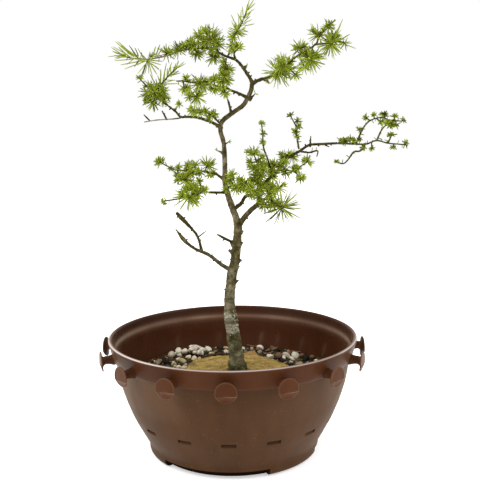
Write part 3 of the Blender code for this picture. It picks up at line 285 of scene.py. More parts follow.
# Leafy sprays. Each has its green twigs and its tufts, with the reach of their needles. "more" has tufts
# that only the fine meshes have, "shoot" a twig set with single needles, and "needles" the long ones that
# stand out in the photograph: root, tip, and 0 for dark, 1 for mid or 2 for light. By a tuft's number,
# "crowd" is how many needles it has against the others, "dark" its share of dark needles, and "lighter" how
# much lighter it is. "open" tufts face the front of the plant and show their bud there. "fullness" is a
# crowd for the whole spray. A spray with "ragged" has ragged tufts, so much darker than the others. "red"
# is for the twig that turns reddish past RED_FROM, and "end_bud" is the radius of the bud at the end of the
# first twig.
SPRAYS = {
    "left_top": {
        "twigs": [[(-12, 24, 447), (-15, 27, 451), (-36, 32, 451), (-54, 36, 449), (-71, 42, 444),
            (-91, 48, 441), (-104, 50, 442), (-113, 52, 443), (-120, 52, 446)]],
        "tufts": [(-20, 24, 460, 18), (-28, 41, 458, 15), (-38, 25, 454, 12), (-47, 43, 454, 9),
            (-56, 32, 450, 12), (-70, 46, 447, 12), (-35, 34, 446, 12), (-17, 36, 442, 12),
            (-87, 46, 444, 7), (-91, 43, 438, 18)],
        "more": [(-24, 28, 468, 12), (-12, 20, 455, 12), (-33, 36, 465, 11), (-18, 25, 450, 10),
            (-43, 34, 458, 9)],
        "shoot": ((-93, 48, 441), (-120, 52, 446), 18),
        "needles": [(-92, 42, 439, -100, 40, 420, 0), (-92, 42, 439, -97, 36, 422, 0),
            (-91, 42, 439, -86, 38, 420, 2), (-91, 42, 439, -81, 38, 423, 2),
            (-92, 43, 439, -119, 46, 430, 1), (-94, 45, 440, -124, 50, 435, 1),
            (-100, 48, 442, -131, 52, 440, 2), (-91, 43, 439, -76, 38, 434, 2),
            (-91, 43, 440, -74, 42, 438, 1), (-101, 48, 442, -107, 44, 432, 0),
            (-104, 48, 444, -113, 50, 457, 0), (-102, 48, 444, -106, 46, 454, 0),
            (-97, 46, 442, -99, 44, 449, 0), (-110, 50, 445, -129, 54, 462, 2),
            (-108, 50, 445, -126, 52, 462, 2), (-113, 50, 445, -132, 54, 456, 2),
            (-115, 50, 446, -132, 54, 450, 2), (-105, 49, 444, -122, 52, 457, 2),
            (-103, 49, 444, -116, 50, 452, 2), (-118, 51, 445, -131, 54, 446, 1),
            (-86, 44, 442, -82, 42, 455, 1), (-83, 44, 442, -77, 42, 457, 1),
            (-82, 43, 442, -74, 38, 453, 1)],
        "crowd": {0: 1.6, 1: 1.35, 8: 0.6, 9: 0.3},
        "dark": {6: 0.3, 8: 0.5, 9: 0.25},
        "open": [0],
        "red": True,
    },
    "leader": {
        "twigs": [[(0, 18, 443), (2, 17, 449), (5, 14, 460), (12, 11, 471), (17, 8, 481), (20, 7, 488)]],
        "tufts": [(3, 8, 452, 9), (9, 21, 467, 12), (5, 12, 461, 9)],
        "shoot": ((7, 13, 464), (20, 7, 488), 15),
        "needles": [(8, 12, 475, 3, 14, 486, 2), (15, 11, 477, 10, 12, 487, 2), (20, 8, 487, 21, 7, 496, 2),
            (20, 9, 481, 26, 8, 490, 2), (17, 10, 473, 29, 8, 475, 2), (14, 11, 470, 22, 8, 466, 1),
            (12, 12, 467, 21, 8, 463, 2), (8, 13, 469, 1, 16, 472, 2), (7, 14, 466, -1, 18, 469, 1),
            (11, 12, 471, 5, 14, 480, 2), (17, 10, 477, 24, 7, 483, 1), (13, 11, 472, 20, 8, 476, 2),
            (6, 14, 463, -2, 18, 462, 1)],
        "crowd": {0: 0.7, 1: 0.9, 2: 0.7},
    },
    "top_twig": {
        "twigs": [[(7, 13, 439), (6, 8, 444), (10, 2, 448)]],
        "tufts": [(11, 1, 450, 8), (5, 7, 446, 6)],
    },
    "hanging": {
        "twigs": [[(-3, 18, 439), (-4, 11, 430), (-5, 3, 421)]],
        "tufts": [(-4, 15, 427, 9), (-5, 1, 419, 11), (-9, 0, 414, 8)],
        "more": [(-5, 16, 435, 9), (0, 12, 427, 9), (-2, 2, 415, 9), (-7, 0, 408, 8)],
        "fullness": 1.15,
    },
    "right_top": {
        "twigs": [[(49, -21, 419), (60, -27, 427), (69, -31, 436), (78, -34, 442), (90, -36, 449),
            (95, -34, 458), (103, -31, 466), (111, -28, 474)], [(89, -36, 449), (105, -45, 450),
            (113, -49, 451), (120, -52, 449)]],
        "tufts": [(52, -28, 421, 19), (60, -17, 424, 15), (56, -36, 429, 15), (75, -25, 446, 13),
            (84, -46, 433, 17), (83, -28, 437, 14), (94, -25, 460, 13), (103, -38, 467, 9),
            (104, -52, 448, 16), (108, -41, 454, 13), (118, -53, 449, 8)],
        "more": [(78, -40, 427, 10), (90, -40, 438, 10), (70, -26, 419, 9), (64, -26, 432, 9)],
        "needles": [(106, -50, 450, 116, -56, 473, 1), (108, -50, 452, 114, -54, 467, 2),
            (113, -53, 450, 130, -54, 443, 2), (112, -50, 451, 124, -50, 458, 1)],
        "crowd": {0: 1.35, 1: 1.3, 2: 1.3, 4: 1.5, 5: 1.4, 8: 1.45, 9: 1.3, 10: 0.6},
        "dark": {10: 0.4},
        "open": [0, 5, 9],
        "end_bud": 1.25,
    },
    "left_upper": {
        "twigs": [[(0, -21, 405), (-12, -29, 408), (-21, -35, 410), (-34, -41, 411), (-47, -48, 413),
            (-54, -50, 413)], [(-33, -41, 411), (-33, -34, 404), (-34, -28, 398)]],
        "tufts": [(-30, -49, 411, 13), (-44, -43, 415, 7), (-16, -28, 414, 9), (-4, -28, 401, 8),
            (-15, -38, 405, 8), (-34, -25, 397, 12), (-46, -52, 405, 8), (-26, -32, 408, 8),
            (-42, -28, 398, 8)],
        "dark": {1: 0.2},
    },
    "left_inner": {
        "twigs": [[(-12, 2, 370), (-18, -6, 376), (-26, -11, 381), (-38, -17, 384)]],
        "tufts": [(-39, -18, 383, 9), (-32, -8, 381, 8), (-26, -17, 382, 7), (-18, -2, 377, 8),
            (-22, -12, 375, 6)],
    },
    "left_cluster": {
        "twigs": [[(-70, 41, 389), (-77, 43, 394), (-84, 46, 401), (-80, 43, 409), (-69, 39, 421),
            (-59, 36, 430)], [(-84, 46, 401), (-93, 50, 410), (-102, 53, 419)]],
        "tufts": [(-82, 38, 401, 14), (-93, 52, 403, 13), (-77, 52, 396, 12), (-75, 39, 405, 12),
            (-87, 43, 393, 14), (-90, 57, 410, 11), (-81, 53, 408, 12), (-102, 53, 420, 6)],
        "shoot": ((-80, 43, 409), (-59, 36, 430), 12),
        "needles": [(-76, 43, 411, -70, 40, 437, 2), (-71, 42, 417, -64, 38, 437, 2),
            (-68, 41, 421, -56, 36, 432, 2), (-65, 40, 423, -59, 38, 436, 2),
            (-67, 41, 422, -54, 36, 425, 1), (-74, 42, 414, -61, 36, 417, 2),
            (-78, 43, 410, -77, 42, 430, 1), (-81, 43, 407, -90, 48, 425, 1),
            (-75, 42, 413, -57, 34, 413, 1)],
        "lighter": {7: 0.3},
        "open": [0],
    },
    "left_small": {
        "twigs": [[(-61, 35, 384), (-59, 31, 387), (-55, 27, 390)]],
        "tufts": [(-56, 27, 390, 6)],
    },
    "left_middle": {
        "twigs": [[(-20, 18, 313), (-34, 28, 315), (-48, 36, 315), (-62, 45, 315), (-70, 49, 318),
            (-80, 53, 323)], [(-43, 33, 315), (-48, 27, 309), (-50, 21, 304)]],
        "tufts": [(-81, 53, 324, 9), (-69, 56, 316, 5), (-59, 38, 318, 7), (-47, 43, 318, 11),
            (-34, 21, 314, 8), (-26, 28, 321, 13), (-23, 22, 312, 8), (-50, 20, 305, 12), (-44, 26, 312, 9),
            (-54, 33, 308, 8), (-61, 42, 311, 7)],
        "more": [(-40, 30, 321, 8), (-60, 30, 305, 8), (-46, 22, 300, 9)],
        "open": [3, 7],
        "fullness": 1.1,
    },
    "left_low": {
        "twigs": [[(-25, -20, 296), (-32, -25, 296), (-45, -35, 293), (-55, -43, 291), (-69, -52, 290)],
            [(-27, -21, 296), (-32, -14, 302), (-34, -10, 307)]],
        "tufts": [(-44, -38, 292, 16), (-36, -18, 293, 10), (-41, -34, 300, 12), (-28, -28, 299, 7),
            (-34, -8, 307, 6), (-51, -41, 294, 10), (-70, -52, 289, 5)],
        "more": [(-47, -34, 299, 9), (-39, -30, 288, 9), (-33, -26, 298, 8)],
        "needles": [(-45, -38, 293, -61, -44, 283, 2), (-45, -38, 293, -54, -46, 279, 2),
            (-45, -38, 293, -39, -46, 279, 2), (-45, -38, 294, -62, -44, 292, 1),
            (-44, -38, 293, -46, -48, 279, 1), (-44, -38, 293, -30, -42, 283, 2)],
        "crowd": {0: 0.9},
        "fullness": 1.1,
    },
    "trunk": {
        "twigs": [[(-2, -2, 299), (5, -14, 302), (15, -22, 304), (22, -28, 301)]],
        "tufts": [(0, -14, 306, 8), (6, -17, 299, 11), (15, -25, 305, 9), (22, -29, 300, 8),
            (11, -19, 299, 7), (27, -32, 296, 7)],
        "more": [(2, -16, 313, 9), (-5, -12, 298, 7), (10, -22, 308, 8), (18, -25, 298, 8)],
        "open": [1, 4],
        "fullness": 1.3,
    },
    "middle_a": {
        "twigs": [[(31, 17, 294), (30, 8, 305), (31, 2, 317), (29, 0, 327), (26, -2, 334)]],
        "tufts": [(26, -2, 335, 12), (32, 7, 324, 9), (27, -6, 319, 10), (33, -6, 311, 9), (27, 13, 304, 9),
            (34, 4, 300, 9)],
        "more": [(35, 5, 331, 8), (23, 0, 325, 9), (36, 0, 317, 9), (28, 2, 311, 9)],
        "fullness": 1.15,
    },
    "middle_b": {
        "twigs": [[(46, 25, 310), (45, 17, 318), (42, 13, 328), (37, 7, 342), (36, 2, 357), (35, 0, 366)]],
        "tufts": [(46, 11, 315, 9), (50, 20, 321, 9), (39, 22, 320, 9), (36, 3, 348, 5), (37, 6, 357, 5),
            (35, 0, 368, 5)],
        "more": [(55, 18, 320, 10), (61, 24, 323, 8)],
        "open": [1],
    },
    "middle_c": {
        "twigs": [[(60, 31, 319), (63, 17, 316), (71, 6, 314), (76, -3, 310)], [(69, 9, 315), (77, 2, 320),
            (84, 0, 325)]],
        "tufts": [(62, 17, 313, 9), (71, -2, 317, 9), (77, -7, 308, 8), (85, 0, 326, 9)],
        "open": [2],
    },
    "middle_d": {
        "twigs": [[(68, 41, 329), (68, 48, 330), (71, 56, 328)]],
        "tufts": [(64, 50, 328, 12), (73, 59, 328, 11)],
    },
    "middle_e": {
        "twigs": [[(37, 27, 299), (40, 38, 299), (46, 50, 302)]],
        "tufts": [(43, 42, 296, 10), (48, 53, 305, 10)],
        "more": [(23, -20, 292, 8), (31, -25, 290, 9), (19, -22, 302, 8), (34, -10, 296, 8)],
        "open": [0],
        "fullness": 1.2,
    },
    "low_right": {
        "twigs": [[(34, -24, 286), (40, -31, 288), (47, -39, 285), (53, -46, 281)], [(40, -31, 288),
            (45, -22, 295), (51, -17, 299)]],
        "tufts": [(54, -48, 281, 22), (41, -36, 294, 12), (46, -28, 282, 13), (36, -35, 282, 10),
            (44, -27, 299, 10), (52, -15, 299, 12)],
        "needles": [(53, -48, 280, 36, -54, 266, 0), (53, -48, 280, 41, -56, 269, 0),
            (53, -48, 280, 48, -54, 264, 0), (53, -48, 280, 55, -58, 264, 2),
            (54, -48, 280, 66, -56, 271, 2), (54, -48, 280, 74, -50, 269, 1),
            (54, -48, 281, 75, -46, 279, 1), (54, -48, 281, 71, -44, 296, 1),
            (53, -48, 282, 60, -50, 295, 2), (53, -48, 282, 52, -52, 302, 2),
            (53, -48, 282, 43, -50, 297, 2), (52, -48, 280, 33, -54, 275, 0),
            (52, -48, 281, 33, -56, 284, 2), (53, -48, 280, 61, -58, 267, 0),
            (54, -48, 280, 71, -58, 288, 1)],
        "crowd": {0: 0.75},
        "dark": {0: 0.5},
        "open": [0, 1],
    },
    "right": {
        "twigs": [[(123, 36, 344), (143, 31, 343), (154, 27, 343), (165, 22, 347), (177, 18, 344),
            (188, 14, 343), (198, 11, 342)], [(143, 31, 343), (149, 36, 355), (155, 41, 364), (161, 43, 369),
            (171, 46, 372), (179, 46, 371), (184, 42, 368)], [(165, 22, 347), (171, 24, 359),
            (177, 25, 365)], [(153, 27, 343), (146, 17, 336), (138, 13, 335), (131, 7, 327), (125, 2, 323),
            (116, -2, 325)], [(177, 18, 344), (181, 20, 352)], [(183, 43, 369), (196, 36, 368)]],
        "tufts": [(132, 39, 346, 7), (140, 27, 347, 5), (149, 41, 348, 5), (151, 32, 339, 5),
            (147, 32, 359, 5), (157, 48, 372, 5.5), (165, 43, 375, 5), (179, 52, 375, 7), (186, 48, 365, 7),
            (189, 43, 373, 6), (197, 36, 369, 5), (177, 25, 366, 7), (159, 18, 339, 5), (181, 20, 353, 6),
            (196, 15, 344, 6), (117, -2, 325, 4), (183, 38, 364, 7), (183, 17, 340, 5)],
        "more": [(127, 38, 346, 6), (137, 34, 348, 6), (172, 36, 368, 7), (190, 40, 364, 6)],
        "crowd": {0: 1.6, 7: 1.4, 8: 1.4},
        "ragged": 0.14,
    },
    "riser": {
        "twigs": [[(79, 41, 338), (77, 42, 351), (76, 39, 362), (70, 34, 374)]],
        "tufts": [(77, 38, 352, 5), (75, 45, 358, 6), (78, 36, 364, 5), (69, 34, 376, 5)],
        "more": [(77, 38, 370, 6)],
        "crowd": {1: 1.3, 2: 1.2},
        "ragged": 0.08,
    },
}
TWIG_RADII, SPUR_RADII = (1.0, 0.6), (0.85, 0.8, 0.95)
RED_FROM = -62  # the end of the upper left branch is bare and reddish to the left of here
NEEDLES, TWIG, BUD = 0, 1, 2
FULL_REACH = 14  # tufts that reach further than this have long needles
OPEN_WAY, OPEN_RISE = Vector((0.1, -0.95, 0.3)).normalized(), 0.72
GOLDEN_TURN = 2.399963  # each needle stands so far round from the one before
LONG_SHADES = (0.06, 0.42, 0.62)
BIT_LENGTHS, BIT_GAPS, BIT_HALVES = (2.6, 5.5), (2.5, 6.5), (0.6, 0.85)  # single needles along a twig
SHOOT_DENSITY, SHOOT_LEAN = 0.45, math.radians(58)  # needles to a millimetre, and lean at the shoot's foot


# Materials

class Look:
    """A material, built up from its shader. Most methods add a node and give its outcome's socket."""

    def __init__(self, name, roughness, gloss=0.5):
        self.material = bpy.data.materials.new(name)
        self.material.use_nodes = True
        self.tree = self.material.node_tree
        self.shader = self.tree.nodes["Principled BSDF"]
        self.place = self.node("TexCoord", {}, "Object")
        self.set("Roughness", roughness)
        self.set("Specular IOR Level", gloss)

    def feed(self, socket, given):
        """Link the socket to another one, or give it a value of its own."""
        if isinstance(given, bpy.types.NodeSocket):
            self.tree.links.new(given, socket)
        else:
            socket.default_value = (*given, 1) if socket.type == "RGBA" else given

    def set(self, name, given):
        self.feed(self.shader.inputs[name], given)

    def node(self, kind, inputs, outcome=0, **settings):
        made = self.tree.nodes.new("ShaderNode" + kind)
        for name, value in settings.items():
            setattr(made, name, value)
        for name, given in inputs.items():
            self.feed(made.inputs[name], given)
        return made.outputs[outcome]

    def noise(self, scale, detail, roughness=0.55, stretch=None):
        """A noise texture of so many waves to the metre, drawn out along an axis by stretch."""
        place = self.node("Mapping", {"Vector": self.place, "Scale": stretch}) if stretch else self.place
        settings = {"Vector": place, "Scale": scale, "Detail": detail, "Roughness": roughness}
        return self.node("TexNoise", settings, "Fac")

    def ramp(self, value, *stops):
        """A colour ramp with (position, colour) stops. A colour is three linear values, or one for grey."""
        made = self.tree.nodes.new("ShaderNodeValToRGB")
        elements = made.color_ramp.elements
        while len(elements) < len(stops):
            elements.new(0.5)
        for element, (position, colour) in zip(elements, stops):
            element.position = position
            element.color = (*colour, 1) if isinstance(colour, tuple) else (colour, colour, colour, 1)
        self.feed(made.inputs["Fac"], value)
        return made.outputs["Color"]

    def mix(self, share, first, second):
        return self.node("Mix", {0: share, 6: first, 7: second}, 2, data_type="RGBA")

    def maths(self, operation, first, second):
        return self.node("Math", {0: first, 1: second}, operation=operation, use_clamp=True)

    def times(self, first, second):
        return self.maths("MULTIPLY", first, second)

    def blend(self, first, share, second):
        """The first with its share, and the second with the rest."""
        return self.maths("ADD", self.times(first, share), self.times(second, 1 - share))

    def attribute(self, name):
        return self.node("Attribute", {}, "Fac", attribute_name=name)

    def bump(self, height, strength, distance):
        settings = {"Strength": strength, "Distance": distance, "Height": height}
        self.set("Normal", self.node("Bump", settings, "Normal"))


def plastic(name, dark, light, roughness, gloss, worn):
    """Moulded plastic: broad cloudy changes, faint streaks down the wall and fine pale specks. Light
    and shade are painted in: paler where the pale attribute says so, darker where painted_shade does,
    and nearly white as a painted highlight where gleam does."""
    look = Look(name, roughness, gloss)
    clouds = look.blend(look.noise(9, 3), 0.65, look.noise(60, 3, 0.6, (1, 1, 0.12)))
    colour = look.ramp(clouds, (0.36, dark), (0.64, light))
    dust = look.ramp(look.noise(420, 2, 0.7), (0.66, 0.0), (0.8, worn))
    colour = look.mix(dust, colour, (0.3, 0.22, 0.15))
    # painted shade, painted light and painted highlights, from the pot's attributes
    colour = look.mix(look.attribute("painted_shade"), colour, (0.008, 0.003, 0.001))
    colour = look.mix(look.attribute("pale"), colour, (0.62, 0.43, 0.28))
    look.set("Base Color", look.mix(look.attribute("gleam"), colour, (0.74, 0.64, 0.58)))
    look.set("Roughness", look.ramp(look.noise(35, 4), (0.3, roughness - 0.05), (0.7, roughness + 0.1)))
    look.set("Sheen Weight", 0.09)
    look.set("Sheen Roughness", 0.32)
    look.set("Sheen Tint", (1, 0.77, 0.47))
    look.bump(look.noise(900, 3), 0.12, 0.0004)
    return look.material


def bark():
    """Scaly olive-grey bark, darker where the shade attribute says so, with white lichen in rings round the
    trunk where lichen says so, and green moss where moss says so."""
    look = Look("larch bark", 0.85, 0.05)
    tone = look.blend(look.noise(230, 5, 0.65, (1, 1, 0.6)), 0.7, look.noise(900, 3, 0.6))
    blotch = look.noise(105, 3, 0.6)
    thick = look.ramp(look.blend(tone, 0.6, blotch), (0.39, (0.03, 0.024, 0.007)),
                      (0.5, (0.105, 0.086, 0.038)), (0.6, (0.27, 0.225, 0.14)))
    thin = look.ramp(tone, (0.35, (0.01, 0.008, 0.0012)), (0.55, (0.044, 0.036, 0.007)),
                     (0.75, (0.13, 0.112, 0.035)))
    colour = look.mix(look.attribute("shade"), thick, thin)
    moss = look.times(look.ramp(look.noise(210, 3), (0.4, 0.0), (0.58, 1.0)), look.attribute("moss"))
    mossy = look.ramp(blotch, (0.42, (0.014, 0.013, 0.005)), (0.54, (0.05, 0.054, 0.017)),
                      (0.64, (0.2, 0.2, 0.11)))
    colour = look.mix(look.times(moss, 0.75), colour, mossy)
    patches = look.ramp(look.noise(130, 3, 0.5, (0.7, 0.7, 1.9)), (0.4, 0.0), (0.5, 1.0))
    lichen = look.times(patches, look.attribute("lichen"))
    look.set("Base Color", look.mix(look.times(lichen, 0.9), colour, (0.44, 0.405, 0.3)))
    look.bump(tone, 0.8, 0.0008)
    return look.material


def foliage():
    """Needles: the shade attribute runs from dark or dry, through mid green, to young yellow-green."""
    look = Look("larch needles, fine", 0.6, 0.05)
    colour = look.ramp(look.attribute("shade"), (0.0, (0.012, 0.014, 0.004)), (0.2, (0.085, 0.103, 0.007)),
                       (0.5, (0.175, 0.226, 0.016)), (0.8, (0.28, 0.34, 0.034)), (1.0, (0.4, 0.46, 0.1)))
    mottle = look.ramp(look.noise(350, 2), (0.4, 0.0), (0.75, 0.3))
    colour = look.mix(mottle, colour, (0.28, 0.32, 0.03))
    look.set("Base Color", colour)
    look.set("Emission Color", colour)  # painted light: the needles glow faintly in their own colour, in place of light coming through them
    look.set("Emission Strength", 0.2)
    return look.material


def twig_bark():
    """Young twigs: olive to brown, and reddish where the shade attribute says so."""
    look = Look("young twigs", 0.8, 0.05)
    tone = look.noise(320, 4)
    olive = look.ramp(tone, (0.35, (0.018, 0.016, 0.002)), (0.52, (0.062, 0.056, 0.008)),
                      (0.7, (0.15, 0.14, 0.03)))
    red = look.ramp(tone, (0.35, (0.09, 0.045, 0.025)), (0.65, (0.3, 0.19, 0.13)))
    look.set("Base Color", look.mix(look.attribute("shade"), olive, red))
    look.bump(tone, 0.5, 0.0004)
    return look.material


def bud_scales():
    """The small red-brown buds in the middle of each tuft."""
    look = Look("larch buds", 0.6)
    tone = look.noise(900, 3)
    look.set("Base Color", look.ramp(tone, (0.35, (0.06, 0.02, 0.004)), (0.65, (0.21, 0.075, 0.015))))
    look.bump(tone, 0.5, 0.0004)
    return look.material


def mineral(name, dark, mid, light, roughness, spots=0.0, gloss=0.3):
    """Stone or earth: each piece's own tone from the shade attribute, and its grain from noise."""
    look = Look(name, roughness, gloss)
    grain = look.noise(520, 5, 0.65)
    tone = look.blend(grain, 0.55, look.attribute("shade"))
    colour = look.ramp(tone, (0.25, dark), (0.5, mid), (0.75, light))
    if spots:
        colour = look.mix(look.ramp(look.noise(140, 6, 0.7), (0.55, 0.0), (0.68, spots)), colour, dark)
    look.set("Base Color", colour)
    look.bump(grain, 0.4, 0.0005)
    return look.material


def sand():
    """Fine tan sand and fibre, with darker damp patches and single dark and pale grains, browner where the
    shade attribute says so."""
    look = Look("sandy root ball, fine", 0.95, 0.1)
    colour = look.ramp(look.noise(90, 5, 0.65), (0.34, (0.13, 0.081, 0.02)), (0.5, (0.248, 0.163, 0.045)),
                       (0.66, (0.36, 0.25, 0.08)))
    grains = look.noise(750, 3, 0.75)
    colour = look.mix(look.ramp(grains, (0.32, 0.8), (0.45, 0.0)), colour, (0.07, 0.045, 0.014))
    colour = look.mix(look.ramp(grains, (0.58, 0.0), (0.7, 0.75)), colour, (0.51, 0.38, 0.15))
    look.set("Base Color", look.mix(look.times(look.attribute("shade"), 0.7), colour, (0.22, 0.12, 0.042)))
    look.bump(grains, 0.9, 0.0012)
    return look.material


def two_tone(name, dark, light, roughness):
    """A colour that runs from dark to light with the shade attribute."""
    look = Look(name, roughness)
    look.set("Base Color", look.ramp(look.attribute("shade"), (0.0, dark), (1.0, light)))
    return look.material


# Shapes

class Shape:
    """The faces of one piece, gathered in millimetres, with a look for each and a shade for each vertex."""

    def __init__(self):
        self.verts, self.faces, self.looks, self.shades = [], [], [], []

    def add(self, verts, faces, look=0, shade=0.5):
        start = len(self.verts)
        self.verts.extend(verts)
        self.faces.extend([tuple(start + index for index in face) for face in faces])
        self.looks.extend([look] * len(faces))
        self.shades.extend(shade if isinstance(shade, list) else [shade] * len(verts))

    def piece(self, name, materials, slot, stands_for=(), smooth=True):
        """The shape as an object that rides on the plant and stands for CAD nodes."""
        mesh = bpy.data.meshes.new(name)
        verts = np.array([tuple(vert) for vert in self.verts]) * MM + np.array(AXIS)
        mesh.from_pydata(verts.tolist(), [], self.faces)
        mesh.polygons.foreach_set("material_index", self.looks)
        set_values(mesh, "shade", self.shades)
        placed(name, mesh, materials, stands_for, smooth)


def set_values(mesh, name, values):
    mesh.attributes.new(name, "FLOAT", "POINT").data.foreach_set("value", values)


def linked(name, mesh):
    obj = bpy.data.objects.new(name, mesh)
    bpy.context.scene.collection.objects.link(obj)
    return obj


def placed(name, mesh, materials, stands_for=(), smooth=True):
    obj = linked(name, mesh)
    for material in materials:
        mesh.materials.append(material)
    mesh.polygons.foreach_set("use_smooth", [smooth] * len(mesh.polygons))
    mesh.update()
    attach(obj, "root")
    if stands_for:
        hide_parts(*stands_for)


def raw_object(name, verts, faces):
    """A plain mesh object in millimetres, for a Boolean."""
    mesh = bpy.data.meshes.new(name)
    mesh.from_pydata([tuple(vert) for vert in verts], [], faces)
    bm = bmesh.new()
    bm.from_mesh(mesh)
    bmesh.ops.recalc_face_normals(bm, faces=bm.faces)
    bm.to_mesh(mesh)
    bm.free()
    return linked(name, mesh)


def boolean(base, others, operation):
    """The mesh of base after one Boolean with all the others. The objects are removed."""
    group = bpy.data.collections.new("operands")
    for other in others:
        group.objects.link(other)
    change = base.modifiers.new("boolean", "BOOLEAN")
    change.operation = operation
    change.operand_type = "COLLECTION"
    change.collection = group
    change.solver = "MANIFOLD"
    bpy.context.view_layer.update()
    mesh = bpy.data.meshes.new_from_object(base.evaluated_get(bpy.context.evaluated_depsgraph_get()))
    for obj in [base, *others]:
        bpy.data.objects.remove(obj, do_unlink=True)
    bpy.data.collections.remove(group)
    return mesh


def to_metres(mesh):
    """A Boolean's outcome, in metres at the pot's axis and with no materials yet."""
    mesh.transform(Matrix.Translation(AXIS) @ Matrix.Scale(MM, 4))
    mesh.materials.clear()


def clamp(value):
    return max(0, min(1, value))


def eased(low, high, value):
    """0 below low, 1 above high, and smooth between."""
    share = clamp((value - low) / (high - low))
    return share * share * (3 - 2 * share)


def on_circle(radius, angle, height):
    """A place so far round the pot's axis from the front, to the right."""
    return (radius * math.sin(angle), -radius * math.cos(angle), height)


def turned(x, out, turn, height):
    """A place beside a line from the pot's axis that is turned so far from the front."""
    return (x * math.cos(turn) + out * math.sin(turn), x * math.sin(turn) - out * math.cos(turn), height)


def upright(rng, axis):
    """A random direction square to an axis."""
    return Matrix.Rotation(rng.uniform(0, TAU), 3, axis) @ axis.orthogonal().normalized()


def ahead(ring):
    """A ring of vertex numbers, each moved one step round."""
    return [*ring[1:], ring[0]]


def band(lower, upper):
    """The faces between two rings."""
    return zip(lower, ahead(lower), ahead(upper), upper)


def outward_band(inner, outer):
    """The faces between two rings, facing the other way."""
    return zip(inner, outer, ahead(outer), ahead(inner))


def lathe(outline, sides, place=on_circle):
    """Vertices and faces of an outline turned round Z. A point of radius 0 becomes a single vertex."""
    verts, rings = [], []
    for radius, height in outline:
        if radius == 0:
            rings.append([len(verts)] * sides)
            verts.append(place(0, 0, height))
        else:
            rings.append(list(range(len(verts), len(verts) + sides)))
            verts.extend(place(radius, TAU * step / sides, height) for step in range(sides))
    faces = []
    for lower, upper in zip(rings, rings[1:]):
        faces += [tuple(dict.fromkeys(face)) for face in band(lower, upper)]
    return verts, [face for face in faces if len(face) > 2]


def dense(points, radii, step):
    """A smooth path through the points, with one about every step mm, and its radii."""
    path = [Vector(point) for point in points]
    path = [2 * path[0] - path[1], *path, 2 * path[-1] - path[-2]]
    widths = [radii[0], *radii, radii[-1]]
    places, sizes = [], []
    for index in range(1, len(path) - 2):
        before, start, end, after = path[index - 1:index + 3]
        count = max(1, round((end - start).length / step))
        for part in range(count):
            t = part / count
            place = 2 * start + (end - before) * t + (2 * before - 5 * start + 4 * end - after) * t ** 2
            places.append(0.5 * (place + (3 * start - before - 3 * end + after) * t ** 3))
            ease = t * t * (3 - 2 * t)
            sizes.append(widths[index] * (1 - ease) + widths[index + 1] * ease)
    places.append(path[-2])
    sizes.append(widths[-2])
    return places, sizes


def tapered(points, first, last):
    """A radius for each point, from first to last by the length along the points."""
    steps = [0.0]
    for a, b in zip(points, points[1:]):
        steps.append(steps[-1] + (Vector(b) - Vector(a)).length)
    return [first + (last - first) * step / steps[-1] for step in steps]


def tube(places, sizes, sides, relief=None):
    """Vertices and faces of a round stem along a path, with rounded ends and the given relief."""
    verts, faces = [], []
    across = (places[1] - places[0]).orthogonal().normalized()
    rings = []
    count = len(places)
    rows = [(0, 0.55, -0.35), *((index, 1.0, 0.0) for index in range(count)), (count - 1, 0.55, 0.35)]
    for index, share, shift in rows:
        along = (places[min(index + 1, count - 1)] - places[max(index - 1, 0)]).normalized()
        across = (across - along * across.dot(along)).normalized()
        other = along.cross(across)
        middle = places[index] + along * sizes[index] * shift
        ring = []
        for step in range(sides):
            angle = TAU * step / sides
            outward = across * math.cos(angle) + other * math.sin(angle)
            reach = sizes[index] * share
            if relief:
                reach += relief(middle + outward * reach, sizes[index]) * share
            ring.append(len(verts))
            verts.append(middle + outward * max(reach, 0.05))
        rings.append(ring)
    for lower, upper in zip(rings, rings[1:]):
        faces += band(lower, upper)
    return verts, [*faces, tuple(reversed(rings[0])), tuple(rings[-1])]


def ball(subdivisions):
    """Unit sphere: its vertices as an array, and its faces."""
    bm = bmesh.new()
    bmesh.ops.create_icosphere(bm, subdivisions=subdivisions, radius=1)
    verts = np.array([tuple(vert.co) for vert in bm.verts])
    faces = [tuple(vert.index for vert in face.verts) for face in bm.faces]
    bm.free()
    return verts, faces


BALLS = {level: ball(level) for level in (1, 2)}


def unit(rng):
    """An even random direction."""
    height, angle = rng.uniform(-1, 1), rng.uniform(0, TAU)
    flat = math.sqrt(1 - height * height)
    return np.array((flat * math.cos(angle), flat * math.sin(angle), height))


def on_disc(rng, radius, least=0.0):
    """A random place on the ground within a radius of the pot's axis."""
    angle, reach = rng.uniform(0, TAU), radius * math.sqrt(rng.uniform(least, 1))
    return reach * math.cos(angle), reach * math.sin(angle)


def stone(shape, centre, sizes, rng, level, shade, cuts=7, tilt=0.5):
    """A ball with flat places broken off it, stretched to three half sizes, turned and laid down."""
    verts, faces = BALLS[level]
    verts = verts.copy()
    for _ in range(cuts):
        way = unit(rng)
        over = np.maximum(verts @ way - rng.uniform(0.55, 0.85), 0)
        verts -= over[:, None] * way
    turn = Euler((rng.uniform(-tilt, tilt), rng.uniform(-tilt, tilt), rng.uniform(0, TAU))).to_matrix()
    verts = (verts * np.array(sizes)) @ np.array(turn).T + np.array(centre)
    shape.add(verts.tolist(), faces, 0, shade)


# Pot

def wedge(name, outline, half, turn, narrow=0.0):
    """A block with the outline of (distance from the axis, height) points, half wide to each side."""
    count = len(outline)
    corners = []
    for side in (-1, 1):
        for out, height in outline:
            corners.append(turned(side * (half - narrow * (out < outline[0][0])), out, turn, height))
    left, right = list(range(count)), list(range(count, 2 * count))
    faces = [tuple(left), tuple(reversed(right)), *outward_band(left, right)]
    return raw_object(name, corners, faces)


